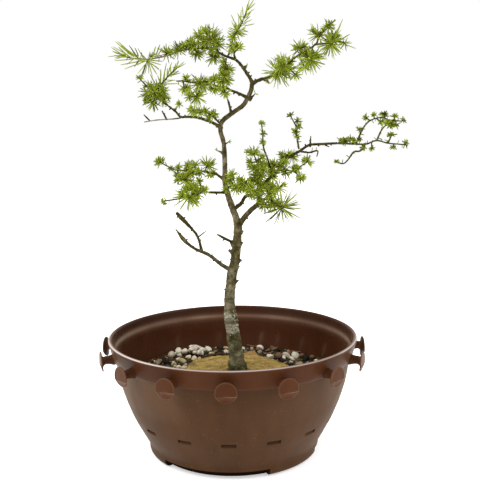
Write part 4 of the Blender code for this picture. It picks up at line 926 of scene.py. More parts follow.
def fine_button(turn):
    """A domed button on a flared post. Below a crease its face leans in."""
    verts, faces = lathe(BUTTON_OUTLINE, BUTTON_SIDES)
    bm = bmesh.new()
    made = [bm.verts.new(vert) for vert in verts]
    for face in faces:
        bm.faces.new([made[corner] for corner in face])
    for line in (BUTTON_CREASE - CREASE_HALF, BUTTON_CREASE, BUTTON_CREASE + CREASE_HALF):
        parts = bm.verts[:] + bm.edges[:] + bm.faces[:]
        bmesh.ops.bisect_plane(bm, geom=parts, plane_co=(0, line, 0), plane_no=(0, 1, 0))
    for vert in bm.verts:
        x, y, out = vert.co
        if abs(y - BUTTON_CREASE) < 0.01 and out > BUTTON_FACE:
            out += CREASE_RISE
        if out < POST_END:
            y += POST_RISE * min(1, (POST_END - out) / 3)
        elif y < BUTTON_CREASE:
            drop = BUTTON_CREASE - y
            y = BUTTON_CREASE - drop * math.cos(BUTTON_LEAN)
            out -= drop * math.sin(BUTTON_LEAN)
        vert.co = turned(x, out, turn, BUTTON_Z + y)
    bmesh.ops.recalc_face_normals(bm, faces=bm.faces)
    mesh = bpy.data.meshes.new("button")
    bm.to_mesh(mesh)
    bm.free()
    return linked("button", mesh)


def foot_notch(start):
    """A cutter that clears the outside of the foot ring between two feet."""
    verts, faces = [], []
    steps = NOTCH_STEPS
    row = steps + 1
    for height in NOTCH_HEIGHTS:
        for radius in NOTCH_RADII:
            verts += [on_circle(radius, start + NOTCH_ANGLE * step / steps, height) for step in range(row)]
    for step in range(steps):
        low_in, low_out, top_in, top_out = step, row + step, 2 * row + step, 3 * row + step
        faces += [(low_in, low_in + 1, low_out + 1, low_out), (top_in, top_out, top_out + 1, top_in + 1),
                  (low_in, top_in, top_in + 1, low_in + 1), (low_out, low_out + 1, top_out + 1, top_out)]
    faces += [(0, row, 3 * row, 2 * row), (steps, 2 * row + steps, 3 * row + steps, row + steps)]
    return raw_object("notch", verts, faces)


def highlight_at(table, reach, z):
    """The share that a table gives at a place on the pot, or 0."""
    near = [share for radius, height, share in table if math.hypot(reach - radius, z - height) < HIGHLIGHT_REACH]
    return near[0] if near else 0.0


def pot_painted_light(vert):
    """Painted light, painted shade and painted highlight on the plastic at a vertex in millimetres."""
    x, y, z = vert.co
    reach = math.hypot(x, y)
    outside = vert.normal.x * x + vert.normal.y * y > 0
    side = abs(x) / reach if reach else 0
    # painted side light and shade: how far a place lies toward the pot's left and right sides, sooner at the
    # front
    painted_side = eased(*SIDE_BACK, side)
    if y < 0:
        painted_side = eased(*SIDE_FRONT, side) * (0.6 + 0.4 * eased(*SIDE_MORE, side))
    painted_shade = 0.0
    turn = math.degrees(math.atan2(x, y))
    # painted highlights on the buttons, a little more toward the sides
    if reach > BUTTON_HEAD:
        return ALL_PALE * (button_painted_highlight(x, y, z, reach) + 0.04 * painted_side), 0.0, 0.0
    # painted highlight along the rounded rim, strongest toward the front at the left and right
    gleam = highlight_at(RIM_PAINTED_HIGHLIGHT, reach, z) * (1 - 0.85 * eased(*RIM_Y, y)) * (1 - 0.3 * eased(*RIM_MIDDLE_X, x))
    gleam *= 0.5 + 0.42 * eased(*RIM_LEFT_X, -x) + 0.4 * eased(*RIM_RIGHT_X, x)
    # painted glint along the ledge inside the collar, stronger toward the back
    glint = float(np.interp(turn, *zip(*LEDGE_GLINT)))
    pale = highlight_at(LEDGE_PAINTED_HIGHLIGHT, reach, z) * (0.65 + 0.35 * eased(*LEDGE_Y, y)) * glint
    # painted shade toward the collar's sides, more on the left
    if outside and z > COLLAR_Z:
        painted_shade = (COLLAR_DEEP_LEFT if x < 0 else COLLAR_DEEP_RIGHT) * painted_side
    elif outside and z > WALL_PAINTED_Z:
        # painted side light on the wall, more on the left, and painted shadow under the collar at the front
        high = eased(*WALL_HIGH_Z, z)
        pale = (0.06 * eased(*WALL_PALE_Z, z) + 0.04 * high) * painted_side * (1 if x < 0 else 0.5)
        painted_shade = 0.2 * high * (1 - painted_side) * (y < 0)
    # painted shade along the slots' upper lips
    if SLOT_LIP_Z[0] < z < SLOT_LIP_Z[1] and SLOT_LIP_REACH[0] < reach < SLOT_LIP_REACH[1]:
        painted_shade = LIP_DEEP
    # painted reflections: pale streaks on the inside wall at the back, above the stones
    if not outside and REFLECTION_Z[0] < z < REFLECTION_Z[1] and y > 0:
        pale = sum(strong * REFLECTION_STRENGTH * math.exp(-((turn - middle) / REFLECTION_HALF) ** 2)
                   for middle, strong in REFLECTIONS)
    # painted shade inside the collar, darker toward the left
    if not outside and INNER_COLLAR_Z < z < RIM_Z:
        painted_shade = 0.2 + 0.2 * eased(*INNER_COLLAR_X, -x)
    return ALL_PALE * pale, painted_shade, gleam


def button_painted_highlight(x, y, z, reach):
    """Painted highlights on a button: along its rim and crease, and a paler lower face."""
    turn = math.atan2(x, -y) - FRONT_TURN
    off = (turn + math.pi / COUNT) % (TAU / COUNT) - math.pi / COUNT
    across, up = off * BUTTON_REACH, z - BUTTON_Z
    rim = math.exp(-((math.hypot(across, up) - RIM_RADIUS) / RIM_LINE) ** 2) if reach > RIM_REACH else 0
    crease = math.exp(-((up - BUTTON_CREASE) / CREASE_LINE) ** 2) if reach > CREASE_REACH else 0
    below = BELOW_PALE if up < BUTTON_CREASE and reach > RIM_REACH else 0
    return min(MOST_PALE, RIM_PALE * rim + CREASE_PALE * crease * eased(*CREASE_FADE, across) + below)


def pot_look(face):
    """Which of the pot's four plastics a face has."""
    middle = face.center - AXIS
    reach, height = math.hypot(middle.x, middle.y) / MM, middle.z / MM
    inward = face.normal.x * middle.x + face.normal.y * middle.y < 0
    across = abs(face.normal.x * middle.y - face.normal.y * middle.x) / (reach * MM)
    # painted shade: the notches' recessed faces and the slots' end walls get the near-black plastic
    in_notch = NOTCH_LOOK[0] < reach < NOTCH_LOOK[1] and height < FOOT_TOP
    if in_notch and (across > 0.7 or reach < NOTCH_BACK and not inward and height > 0.1):
        return SHADED_RECESS
    if SLOT_LOOK_Z[0] < height < SLOT_LOOK_Z[1] and SLOT_LOOK[0] < reach < SLOT_LOOK[1] and across > 0.7:
        return SHADED_RECESS
    above = height > COLLAR_Z
    if reach > POT_REACH or above and reach > COLLAR_REACH[0] and not (inward and reach < COLLAR_REACH[1]):
        return COLLAR
    if inward and not HOUSING_Z[0] < height < HOUSING_Z[1] or above or reach < UNDER_REACH:
        return INSIDE
    return BOWL


def fine_pot():
    def place(radius, angle, height):
        """Shallow panels between the slots, each a little proud of the wall."""
        share = (angle / TAU * COUNT) % 1
        on_wall = PANEL_Z[0] < height < PANEL_Z[1] and radius > PANEL_REACH
        if on_wall and PANEL_SHARE[0] < share < PANEL_SHARE[1]:
            radius += PANEL_RISE
        return on_circle(radius, angle + FRONT_TURN, height)

    turns = [FRONT_TURN + index * TAU / COUNT for index in range(COUNT)]
    body = raw_object("pot_body", *lathe(POT_OUTLINE, COUNT * PER_UNIT, place))
    added = [fine_button(turn) for turn in turns]
    added += [wedge("housing", SLOT_HOUSING, SLOT_WIDTH / 2 + HOUSING_WALL, turn) for turn in turns]
    body = linked("pot_body", boolean(body, added, "UNION"))
    pockets = [wedge("pocket", SLOT_POCKET, SLOT_WIDTH / 2, turn, 0.5) for turn in turns]
    body = linked("pot_body", boolean(body, pockets, "DIFFERENCE"))
    cutters = [wedge("mouth", SLOT_MOUTH, SLOT_WIDTH / 2 - MOUTH_INSET, turn) for turn in turns]
    cutters += [foot_notch(NOTCH_START + index * TAU / FEET) for index in range(FEET)]
    mesh = boolean(body, cutters, "DIFFERENCE")
    # painted light, painted shade and painted highlights for each vertex
    values = [pot_painted_light(vert) for vert in mesh.vertices]
    for name, given in zip(("pale", "painted_shade", "gleam"), zip(*values)):
        set_values(mesh, name, given)
    to_metres(mesh)
    # the last plastic is the same plastic painted near black, as shade in the recesses
    looks = [plastic("pot bowl", (0.048, 0.0203, 0.0068), (0.069, 0.0303, 0.0122), 0.5, 0.07, 0.3),
             plastic("pot collar", (0.053, 0.0165, 0.0055), (0.07, 0.0235, 0.009), 0.34, 0.05, 0.12),
             plastic("pot inside", (0.042, 0.0125, 0.004), (0.062, 0.0195, 0.0075), 0.24, 0.1, 0.12),
             plastic("pot recesses, painted shade", (0.006, 0.003, 0.0015), (0.012, 0.006, 0.003), 0.7, 0.03, 0.05)]
    placed("pot_fine", mesh, looks, ["pot"])
    mesh.polygons.foreach_set("material_index", [pot_look(face) for face in mesh.polygons])
    mesh.set_sharp_from_angle(angle=SHARP_ANGLE)


# Soil, root ball and stones

def height_field(shape, centre, radii, sides, height, bottom, shade):
    """A disc of ground: rings of points, each as high as height(x, y) says, closed by a flat underside."""
    verts = [(*centre, height(*centre))]
    for radius in radii:
        for step in range(sides):
            angle = TAU * step / sides
            x, y = centre[0] + radius * math.cos(angle), centre[1] + radius * math.sin(angle)
            verts.append((x, y, height(x, y)))
    rings = [[1 + number * sides + step for step in range(sides)] for number in range(len(radii))]
    faces = [(0, step, after) for step, after in zip(rings[0], ahead(rings[0]))]
    under = [len(verts) + step for step in range(sides)]
    verts += [(*verts[index][:2], bottom) for index in rings[-1]]
    for inner, outer in zip(rings, [*rings[1:], under]):
        faces += outward_band(inner, outer)
    faces.append(tuple(reversed(under)))
    shape.add(verts, faces, 0, shade)


def from_ball(x, y):
    """How far a place is past the edge of the sandy root ball: negative on it."""
    dx, dy = x - ROOT_BALL_CENTRE[0], y - ROOT_BALL_CENTRE[1]
    way = math.atan2(dy, dx)
    edge = ROOT_BALL_RADIUS
    for middle, reach, width in LOBES:
        off = (way - middle + math.pi) % TAU - math.pi
        edge += reach * math.exp(-(off / width) ** 2)
    edge += EDGE_DEPTH * noise.noise(Vector((EDGE_WAVES * math.cos(way), EDGE_WAVES * math.sin(way), 4))) - 1
    return math.hypot(dx, dy) - edge


def sand_height(x, y):
    away = min(1.1, math.hypot(x - ROOT_BALL_CENTRE[0], y - ROOT_BALL_CENTRE[1]) / ROOT_BALL_RADIUS)
    rise = (ROOT_BALL_TOP - ROOT_BALL_EDGE) * (1 - away ** 2)
    place = Vector((x, y, 0))
    rough = sum(depth * noise.noise(place * fine) for depth, fine in SAND_ROUGHNESS)
    past = max(0, from_ball(x, y) + 5)
    return ROOT_BALL_EDGE + rise + rough - 0.13 * past ** 2


def grit_height(x, y):
    place = Vector((x, y, 7))
    level = GRIT_LEVEL + (WALL_LEVEL - GRIT_LEVEL) * eased(97, 119, math.hypot(x, y))
    return level + 0.9 * noise.noise(place * 0.1) + 0.5 * noise.noise(place * 0.4)


def grit(rng):
    """Fine dark gravel between the stones and under them."""
    shape = Shape()
    radii = [GRIT_REACH * (ring / GRIT_RINGS) for ring in range(1, GRIT_RINGS + 1)]
    height_field(shape, (0, 0), radii, GRIT_SIDES, grit_height, GRIT_UNDER, 0.25)
    for _ in range(GRIT_TRIES):
        x, y = on_disc(rng, STONE_REACH)
        if from_ball(x, y) < -4:
            continue
        size = rng.uniform(*GRIT_SIZES)
        half = (size, size * rng.uniform(0.6, 1), size * 0.7)
        stone(shape, (x, y, grit_height(x, y) + 0.5), half, rng, 1, rng.uniform(0, 1) ** 2, 4)
    shape.piece("grit", [mineral("dark grit", *GRIT_LOOK)], "gravel", ["stones"], False)


def gravel(rng):
    """Loose stones of five colours, the ones that the photograph shows first and then others round them."""
    looks = {kind: mineral(f"{kind} stone", *look) for kind, look in STONE_LOOKS.items()}
    shapes = {kind: Shape() for kind in looks}
    laid = []

    def lay(kind, x, y, size, most_under=0):
        """A stone, on the grit or on the stones already there."""
        if from_ball(x, y) < size * 0.4 - 5 or math.hypot(x, y) > STONE_REACH - size:
            return
        under = sum(1 for px, py, ps in laid if math.hypot(x - px, y - py) < OVERLAP * (size + ps))
        if under > most_under:
            return
        laid.append((x, y, size))
        centre = (x, y, grit_height(x, y) + ABOVE_GRIT * size + under * ABOVE_STONE * size)
        half = (size, size * rng.uniform(0.65, 0.95), size * rng.uniform(0.5, 0.75))
        stone(shapes[kind], centre, half, rng, 2, rng.uniform(0.45 if kind == "pale" else 0, 1))

    for kind, places in SEEN_STONES.items():
        for x, y, size in places:
            lay(kind, x, y, size * SEEN_LARGER.get(kind, OTHERS_LARGER), SEEN_PILE)
    for attempt in range(STONE_TRIES):
        x, y = on_disc(rng, STONE_REACH - 3)
        size = rng.uniform(*STONE_SIZES) * (1 if attempt < LARGE_TRIES else SMALLER)
        heap = noise.noise(Vector((x * HEAP_WAVES, y * HEAP_WAVES, 2))) + HEAP_FROM
        behind = y > 0
        pale = PALE_BEHIND if behind else PALE_HEAP if heap > HEAP_FROM else PALE_BETWEEN
        pale *= WALL_SHARE if math.hypot(x, y) > NEAR_WALL else 1
        shares = [pale, pale * CREAM_SHARE, *(OTHERS_BEHIND if behind else OTHERS_FRONT)]
        kind = rng.choices(list(looks), shares)[0]
        if not behind or rng.uniform(0, 1) < 0.3:
            lay(kind, x, y, size, 0 if rng.uniform(0, 1) < 0.9 else 1)
    for kind, shape in shapes.items():
        shape.piece(f"stones_{kind}", [looks[kind]], "gravel")


def fine_root_ball():
    """The sandy root ball, and the sand that has spread past its edge."""
    shape = Shape()
    radii = [SAND_REACH * (ring / SAND_RINGS) for ring in range(1, SAND_RINGS + 1)]
    height_field(shape, ROOT_BALL_CENTRE, radii, SAND_SIDES,
                 lambda x, y: max(SAND_LOW, sand_height(x, y)), SAND_UNDER, 0.5)
    shape.shades = [eased(TONGUE_FROM, TONGUE_TO, y) * math.exp(-((x - TONGUE_X) / TONGUE_HALF) ** 2)
                    for x, y, _ in shape.verts]
    shape.piece("root_ball_fine", [sand()], "sandy_soil", ["root_ball"])


def fine_soil():
    """Dark potting mix under the gravel, which only shows through the mouths of the drain slots."""
    def place(radius, angle, height):
        bump = 0.5 * noise.noise(Vector((radius * math.cos(angle), radius * math.sin(angle), height)) * 0.3)
        return on_circle(radius + (bump - 0.4 if radius else 0), angle, height)

    shape = Shape()
    shape.add(*lathe(SOIL_OUTLINE, SOIL_SIDES, place))
    shape.piece("soil_fine", [mineral("potting soil", *SOIL_LOOK)], "potting_soil", ["soil"])


def fallen():
    """Old needles that lie on the sand and the gravel."""
    rng = random.Random(FALLEN_SEED)
    shape = Shape()
    for _ in range(FALLEN_TRIES):
        x, y = on_disc(rng, FALLEN_REACH, 0.01)
        on_sand = from_ball(x, y) < -3
        if on_sand and rng.uniform(0, 1) < 0.8:
            continue
        z = (sand_height(x, y) + 0.35) if on_sand else grit_height(x, y) + rng.uniform(2.5, 5)
        turn = 7 * math.atan2(y, x)
        way = Vector((math.cos(turn), math.sin(turn), rng.uniform(-0.05, 0.05)))
        bend = Vector((0, 0, 0.06))
        length = rng.uniform(*FALLEN_LENGTHS)
        needle(shape, Vector((x, y, z)), way, length, FALLEN_HALF, bend, rng.uniform(0, 1), 0)
    dry = two_tone("fallen needles", (0.1, 0.055, 0.02), (0.38, 0.25, 0.1), 0.8)
    shape.piece("fallen_needles", [dry], "needles")


# Tree

def bark_relief(place, size):
    """How far the bark stands out: lumps everywhere, and scales with cracks between them on thick wood."""
    lumps = 0.075 * size * noise.noise(place * 0.1) + 0.2 * min(1.6, size) * noise.noise(place * 0.36)
    near = noise.voronoi(Vector((place.x * 0.33, place.y * 0.33, place.z * 0.22)))[0]
    crack = max(0.0, 1 - (near[1] - near[0]) * 4.5)
    grain = 0.12 * noise.noise(place * 1.3)
    return lumps + min(1, size / 5) * (0.35 + grain - 0.5 * crack)


def branch_rows():
    """Each woody stem as its smooth path, radii, sides and how dark it is, below zero for a pale one."""
    rows = [(*dense(TRUNK, TRUNK_RADII, TRUNK_STEP), TRUNK_SIDES, 0.0)]
    for number, (first, last, points) in enumerate(BRANCHES):
        places, sizes = dense(points, tapered(points, first, last), BRANCH_STEP)
        if number in SWELLINGS:
            middle, spread, extra = SWELLINGS[number]
            for index in range(len(places)):
                share = index / (len(places) - 1)
                sizes[index] += extra * math.exp(-((share - middle) / spread) ** 2)
                sizes[index] *= 1 - 0.45 * eased(0.93, 1, share) * (number == DEAD_FORK)
        travelled = 0.0
        for index in range(len(places)):
            if index:
                travelled += (places[index] - places[index - 1]).length
            if first > THICK:
                sizes[index] += first * FLARE * math.exp(-travelled / FLARE_LENGTH)
        dark = -1 if number == PALE_TWIG else 0.6 if first > 2.2 else 0.9
        rows.append((places, sizes, BRANCH_SIDES if first > THICK else THIN_SIDES, dark))
    for points in THORNS + SPIKES:
        places, sizes = dense(points, THORN_RADII, THORN_STEP)
        span = (places[-1] - places[0]).length
        for index, place in enumerate(places):
            share = (place - places[0]).length / span
            sizes[index] = 2.1 * (1 - share) ** 1.6 + 0.5
            if max(points[0][2], points[-1][2]) < TRUNK_THORNS_Z:
                sizes[index] = min(3, 7 * (1 - share) ** 1.3 + 0.45)
        rows.append((places, sizes, THORN_SIDES, 0.45))
    return rows


def spurs(rng, rows):
    """Short woody spurs along the thin bare branches, as larch has where tufts grew in other years."""
    made = []
    for places, sizes, _, dark in rows[1:]:
        travelled = 0.0
        for index in range(1, len(places) - 1):
            travelled += (places[index] - places[index - 1]).length
            if travelled < 6.5 or sizes[index] < 0.8:
                continue
            travelled = rng.uniform(-3, 2)
            along = (places[index + 1] - places[index - 1]).normalized()
            outward = upright(rng, along)
            foot = places[index] + outward * sizes[index] * 0.3
            length = sizes[index] * 0.7 + rng.uniform(0.6, 1.7)
            middle = foot + outward * length * 0.6 + along * 0.2
            end = foot + outward * length + along * 0.5
            made.append(([foot, middle, end], [0.95, 0.85, 0.75], SPUR_SIDES, dark))
    return made


def knobs(path, sizes):
    """Each knob as a short stub that comes out of the nearest bark."""
    made = []
    for place, radius in KNOBS:
        place = Vector(place)
        index = min(range(len(path)), key=lambda step: (path[step] - place).length)
        outward = (place - path[index]).normalized()
        skin = path[index] + outward * sizes[index]
        stub = [skin - outward * 2.5, skin - outward * 0.4, skin + outward * 0.5]
        made.append((stub, [radius * 1.5, radius, radius * 0.6], 10, 0.25))
    return made


def growth(place, path):
    """How much lichen, and how much moss, grows on the bark at a place in millimetres."""
    high = place.z
    middle = min(path, key=lambda point: abs(point.z - high))
    front = 0.72 - 0.28 * (place.y - middle.y) / 10 - 0.22 * (place.x - middle.x) / 10
    rings = [strong * math.exp(-((high - centre) / spread) ** 2) for centre, spread, strong in LICHEN_RINGS]
    lichen = sum(rings) * front + 0.1 * clamp((FOOT_LICHEN_TOP - high) / FOOT_LICHEN_FADE)
    return min(1, lichen), clamp((MOSS_TOP - high) / MOSS_FADE)


def fine_wood():
    rng = random.Random(WOOD_SEED)
    rows = branch_rows()
    path, sizes = rows[0][0], rows[0][1]
    rows += spurs(rng, rows) + knobs(path, sizes)
    objects = [raw_object("stem", *tube(*row[:3], bark_relief)) for row in rows]
    mesh = boolean(objects[0], objects[1:], "UNION")
    samples = KDTree(sum(len(row[0]) for row in rows))
    facts = []
    for places, _, _, dark in rows:
        for index, place in enumerate(places):
            samples.insert(place, len(facts))
            facts.append(dark if dark >= 0 or index > 0.3 * len(places) else 0.9)
    samples.balance()
    values = {"shade": [], "lichen": [], "moss": []}
    for vert in mesh.vertices:
        near = samples.find_n(vert.co, 3)
        dark = sum(facts[index] for _, index, _ in near) / len(near)
        high = vert.co.z
        values["shade"].append(max(dark, 0.75 * clamp((high - YOUNG_FROM) / YOUNG_SPAN)))
        on_trunk = (vert.co - near[0][0]).length < LICHEN_REACH and high < LICHEN_TOP and dark < 0.5
        # painted light: lichen colour all along the pale twig stands in for the strong light on it
        lichen, moss = growth(vert.co, path) if on_trunk else (0.55 * max(0, -dark), 0)
        values["lichen"].append(lichen)
        values["moss"].append(moss)
    for name, given in values.items():
        set_values(mesh, name, given)
    tree = BVHTree.FromPolygons([vert.co.copy() for vert in mesh.vertices],
                                [tuple(face.vertices) for face in mesh.polygons])
    to_metres(mesh)
    placed("wood_fine", mesh, [bark()], ["wood"])
    return tree, path


def crusts_and_moss(tree, path):
    """Raised crusts of white lichen low on the trunk, and moss round its foot."""
    rng = random.Random(CRUST_SEED)
    crusts = Shape()

    def on_bark(height, angle):
        """The nearest bark to a point beside the trunk, and the way it faces."""
        middle = min(path, key=lambda place: abs(place.z - height))
        start = middle + Vector(on_circle(20, angle, 0))
        return tree.ray_cast(start, (middle - start).normalized())[:2]

    strong = [ring for ring in LICHEN_RINGS if ring[2] > STRONG_RING]
    for _ in range(CRUST_TRIES):
        centre, spread, _ = rng.choice(strong)
        hit, normal = on_bark(rng.gauss(centre, spread * 0.55), rng.gauss(CRUST_TURN, CRUST_TURN_SPREAD))
        if hit is None:
            continue
        size = rng.uniform(*CRUST_SIZES)
        verts, faces = BALLS[1]
        turn = normal.to_track_quat("Z", "Y").to_matrix()
        spin = Matrix.Rotation(rng.uniform(0, TAU), 3, "Z")
        flat = verts * np.array((size, size * rng.uniform(0.4, 0.7), CRUST_THICK))
        flat *= 1 + 0.25 * np.array([[noise.noise(Vector(vert) * 2 + hit)] for vert in verts])
        crusts.add((flat @ np.array(turn @ spin).T + np.array(hit)).tolist(), faces, 0, rng.uniform(0, 1))
    crust = mineral("lichen crust", (0.14, 0.13, 0.085), (0.29, 0.27, 0.2), (0.46, 0.43, 0.34), 0.9)
    crusts.piece("lichen", [crust], "bark")
    moss = Shape()
    for _ in range(MOSS_TRIES):
        angle = rng.uniform(0, TAU)
        if rng.uniform(0, 1) < MOSS_ON_BARK:
            top = MOSS_TO + MOSS_HIGHER * max(0, noise.noise(Vector((angle, 3, 0))))
            hit, normal = on_bark(rng.uniform(MOSS_FROM, top), angle)
            if hit is None:
                continue
        else:
            reach = 8.5 + abs(rng.gauss(0, 2.2))
            x, y = TRUNK[0][0] + reach * math.sin(angle), -reach * math.cos(angle)
            hit, normal = Vector((x, y, sand_height(x, y) - 0.2)), Vector((0, 0, 1))
        way = (Vector(normal) + Vector(unit(rng)) * 0.7).normalized()
        length = rng.uniform(*MOSS_LENGTHS)
        needle(moss, hit, way, length, MOSS_HALF, Vector((0, 0, 0)), rng.uniform(0.1, 0.6), 0)
    moss.piece("moss", [two_tone("moss", (0.022, 0.026, 0.006), (0.12, 0.14, 0.03), 0.9)], "bark")


# Needles

def needle(shape, root, way, length, half, bend, shade, look):
    """A slim flat needle with a blunt tip, that bends by the given share of its length."""
    across = way.orthogonal().normalized()
    other = way.cross(across) * 0.7
    verts, shades = [], []
    for share, wide, lighter in ((0, 0.6, 0.1), (0.25, 1.0, 0.0), (0.7, 0.95, 0.0), (0.93, 0.6, 0.03)):
        middle = root + way * length * share + bend * length * share ** 2
        for side in (across, other, -across, -other):
            verts.append(tuple(middle + side * half * wide))
            shades.append(clamp(shade + lighter))
    verts.append(tuple(root + way * length + bend * length))
    shades.append(shade)
    faces = [(3, 2, 1, 0)]
    for ring in (0, 4, 8):
        for step in range(4):
            after = (step + 1) % 4
            faces.append((ring + step, ring + after, ring + 4 + after, ring + 4 + step))
    faces += [(12 + step, 12 + (step + 1) % 4, 16) for step in range(4)]
    shape.add(verts, faces, look, shades)


def nearest_on(twigs, place):
    best = None
    for points in twigs:
        for a, b in zip(points, points[1:]):
            a, b = Vector(a), Vector(b)
            share = clamp((place - a).dot(b - a) / (b - a).length_squared)
            point = a + share * (b - a)
            if best is None or (place - point).length < (place - best).length:
                best = point
    return best


def tuft(shape, centre, foot, reach, tone, dark_share, rng, crowd=1.0, style=None):
    """A short woody spur, a bud, and needles that spread from it. An open tuft faces the front of the plant
    and shows its bud, and a ragged one has fewer needles, of uneven length and width."""
    stalk = centre - foot
    away = stalk.normalized() if stalk.length > 0.5 else Vector((0, 0, 1))
    if stalk.length > 0.5:
        shape.add(*tube([foot, foot + stalk * 0.5, centre], SPUR_RADII, SPUR_SIDES), TWIG, 0.0)
    verts, faces = BALLS[1]
    size = 0.8 + 0.035 * reach
    if style == "open":
        away = OPEN_WAY
        shape.add((verts * size * 1.15 + np.array(centre + away * 0.9)).tolist(), faces, BUD)
    else:
        turn = np.array(away.to_track_quat("Z", "Y").to_matrix())
        bud = (verts * np.array((size, size, size * 1.25))) @ turn.T + np.array(centre)
        shape.add(bud.tolist(), faces, BUD)
    ragged = style == "ragged"
    count = round(crowd * (10 + 1.5 * reach) * (0.75 if ragged else 1))
    spread = (0.45, 1.3, 0.85) if ragged else (0.6, 1.08, 0.98)
    widths = (0.78, 1.15) if ragged else (0.62, 0.82) if reach > FULL_REACH else (0.62, 0.85)
    side = away.orthogonal().normalized()
    other = away.cross(side)
    spin = rng.uniform(0, TAU)
    for index in range(count):
        highest = OPEN_RISE if style == "open" else 0.98
        rise = max(-0.5, min(highest, 1 - (index + 0.5) / count * 1.42 + rng.uniform(-0.06, 0.06)))
        flat = math.sqrt(1 - rise * rise)
        angle = spin + index * GOLDEN_TURN + rng.uniform(-0.25, 0.25)
        way = (away * rise + side * math.cos(angle) * flat + other * math.sin(angle) * flat).normalized()
        length = reach * rng.triangular(*spread) * (0.88 if rise > 0.8 else 1.0)
        bend = Vector(unit(rng)) * 0.08 + Vector((0, 0, rng.uniform(-0.06, 0.04))) + away * 0.05
        shade = clamp(rng.gauss(tone, 0.16))
        half = rng.uniform(*widths)
        if rng.uniform(0, 1) < dark_share:
            shade, half = rng.uniform(0, 0.1), half * 0.7
        needle(shape, centre + way * size * 0.7, way, length - size * 0.7, half, bend, shade, NEEDLES)


def satellites(shape, centre, reach, tone, rng):
    """Small clumps of short needles round a tuft, on twiglets of their own."""
    for _ in range(rng.choice((2, 3, 4))):
        away = Vector(unit(rng))
        away.z = abs(away.z) * 0.7
        place = centre + away * reach * rng.uniform(0.35, 0.7)
        small = rng.uniform(4.0, 6.0)
        tuft(shape, place, centre + away * 0.4, small, tone + rng.uniform(-0.1, 0.12), 0.03, rng, 0.5)


def leaf_bits(shape, points, tone, rng):
    """Single short needles along a twig."""
    travelled = rng.uniform(0, 4)
    for a, b in zip(points, points[1:]):
        a, b = Vector(a), Vector(b)
        axis = (b - a).normalized()
        at = travelled
        while at < (b - a).length:
            around = upright(rng, axis)
            way = (around + axis * rng.uniform(-0.2, 0.9)).normalized()
            length, half = rng.uniform(*BIT_LENGTHS), rng.uniform(*BIT_HALVES)
            bend = Vector(unit(rng)) * 0.08
            shade = clamp(rng.gauss(tone, 0.16))
            needle(shape, a + axis * at + around * 0.6, way, length, half, bend, shade, NEEDLES)
            at += rng.uniform(*BIT_GAPS)
        travelled = at - (b - a).length


def shoot(shape, given, rng, tone):
    """Single needles round a long young shoot, leaning to its tip, and a few at the tip itself."""
    start, end, reach = Vector(given[0]), Vector(given[1]), given[2]
    axis = (end - start).normalized()
    side = axis.orthogonal().normalized()
    count = round((end - start).length * SHOOT_DENSITY)
    for index in range(count + 4):
        share = min(1, (index + 0.5) / count)
        base = start + (end - start) * share
        around = Matrix.Rotation(index * GOLDEN_TURN, 3, axis) @ side
        lean = SHOOT_LEAN * (1 - 0.6 * share) + rng.uniform(-0.15, 0.15)
        way = axis * math.cos(lean) + around * math.sin(lean)
        length, half = reach * rng.uniform(0.75, 1.06), rng.uniform(0.62, 0.8)
        bend = Vector(unit(rng)) * 0.08
        needle(shape, base, way, length, half, bend, clamp(rng.gauss(tone, 0.14)), NEEDLES)


def young_relief(place, size):
    return 0.14 * noise.noise(place * 0.9)


def green_twigs(shape, twigs, red):
    """The young twigs of a spray, with the reddish stretch on the one that has it."""
    for points in twigs:
        places, sizes = dense(points, tapered(points, *TWIG_RADII), TWIG_STEP)
        swells = [1.12 + 0.35 * max(0, noise.noise(place * 0.35)) for place in places]
        sizes = [size * swell for size, swell in zip(sizes, swells)]
        verts, faces = tube(places, sizes, TWIG_SIDES, young_relief)
        reds = [clamp((RED_FROM - vert.x) / 8) if red else 0.0 for vert in verts]
        shape.add(verts, faces, TWIG, reds)


def long_needles(shape, rows, rng):
    """The needles that stand out in the photograph, each from its root to its tip."""
    for *places, kind in rows:
        root, tip = Vector(places[:3]), Vector(places[3:])
        bend = Vector(unit(rng)) * 0.06
        half = rng.uniform(0.78, 0.98) * (0.82 if kind == 0 else 1)
        way = (tip - root).normalized() - bend
        needle(shape, root, way, (tip - root).length, half, bend, LONG_SHADES[kind], NEEDLES)


def fine_spray(shape, parts, rng):
    """The twigs, tufts and single needles of one leafy spray."""
    twigs = parts["twigs"]
    green_twigs(shape, twigs, parts.get("red", False))
    ragged = "ragged" if "ragged" in parts else None
    tone = 0.5 + rng.uniform(-0.06, 0.06) - parts.get("ragged", 0)
    for index, (*place, reach) in enumerate(parts["tufts"]):
        centre = Vector(place)
        own = tone + rng.uniform(-0.12, 0.12) + parts.get("lighter", {}).get(index, 0)
        crowd = parts.get("crowd", {}).get(index, 1) * parts.get("fullness", 1)
        dark_share = parts.get("dark", {}).get(index, 0.05)
        style = "open" if index in parts.get("open", ()) else ragged
        tuft(shape, centre, nearest_on(twigs, centre), reach, own, dark_share, rng, crowd, style)
        if 7 < reach <= FULL_REACH and crowd >= 1:
            satellites(shape, centre, reach, own, rng)
    for *place, reach in parts.get("more", ()):
        centre = Vector(place)
        own = tone + rng.uniform(-0.08, 0.12)
        tuft(shape, centre, nearest_on(twigs, centre), reach, own, 0.03, rng, style=ragged)
    for points in twigs:
        leaf_bits(shape, points, tone, rng)
    if "shoot" in parts:
        shoot(shape, parts["shoot"], rng, tone + 0.08)
    if "end_bud" in parts:
        verts, faces = BALLS[1]
        shape.add((verts * parts["end_bud"] + np.array(twigs[0][-1])).tolist(), faces, BUD)
    long_needles(shape, parts.get("needles", ()), rng)


def fine_sprays():
    looks = [foliage(), twig_bark(), bud_scales()]
    for number, (name, parts) in enumerate(SPRAYS.items()):
        shape = Shape()
        fine_spray(shape, parts, random.Random(SPRAY_SEED + number))
        shape.piece("fine_" + name, looks, "needles", ["spray_" + name])


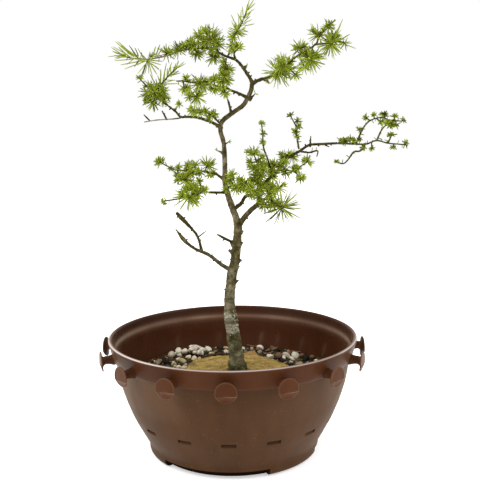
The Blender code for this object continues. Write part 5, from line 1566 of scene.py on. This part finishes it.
def leaflets():
    """Two or three short needles at the tips of the thorns near the top of the trunk."""
    rng = random.Random(LEAFLET_SEED)
    shape = Shape()
    for points in THORNS[:5]:
        tip = Vector(points[-1])
        for _ in range(3):
            needle(shape, tip, Vector(unit(rng)), rng.uniform(3.0, 5.5), 0.7, Vector((0, 0, 0.05)),
                   rng.uniform(0.4, 0.7), 0)
    leaf_bits(shape, BRANCHES[LEAFY_TWIG][2][1:], 0.5, rng)
    shape.piece("leaflets", [bpy.data.materials["larch needles, fine"]], "needles")


# Floor, light and camera

def white_floor():
    bpy.ops.mesh.primitive_plane_add(size=FLOOR_SIZE, location=(0, 0, FLOOR_Z))
    floor = bpy.context.object
    floor.name = "floor"
    look = Look("pale floor", 0.9)
    look.set("Emission Color", (1, 1, 1))
    look.set("Emission Strength", FLOOR_GLOW)
    look.set("Base Color", FLOOR_COLOUR)
    floor.data.materials.append(look.material)


def studio_light():
    """White surroundings and three soft lamps."""
    scene = bpy.context.scene
    world = scene.world or bpy.data.worlds.new("studio")
    scene.world = world
    world.use_nodes = True
    background = world.node_tree.nodes["Background"]
    background.inputs["Color"].default_value = (1, 1, 1, 1)
    background.inputs["Strength"].default_value = 1.0
    for name, place, size, power in LIGHTS:
        light = bpy.data.lights.new(name, "AREA")
        light.energy, light.size = power, size
        obj = linked(name, light)
        obj.location = place
        obj.rotation_euler = (LIGHT_AIM - Vector(place)).to_track_quat("-Z", "Y").to_euler()


def fitted_camera():
    scene = bpy.context.scene
    camera = linked("camera", bpy.data.cameras.new("camera"))
    camera.data.lens, camera.data.sensor_width = CAMERA_LENS, SENSOR
    camera.location = AXIS + Vector(CAMERA_PLACE) * MM
    turn = Euler((math.radians(90 - CAMERA_DOWN), 0, math.radians(-CAMERA_RIGHT))).to_matrix()
    camera.rotation_euler = (turn @ Matrix.Rotation(math.radians(-CAMERA_ROLL), 3, "Z")).to_euler()
    scene.camera = camera
    scene.view_settings.view_transform = "Standard"


white_floor()
studio_light()
fitted_camera()
fine_pot()
fine_soil()
ground_rng = random.Random(GROUND_SEED)
grit(ground_rng)
gravel(ground_rng)
fine_root_ball()
wood_tree, trunk_path = fine_wood()
crusts_and_moss(wood_tree, trunk_path)
fine_sprays()
leaflets()
fallen()
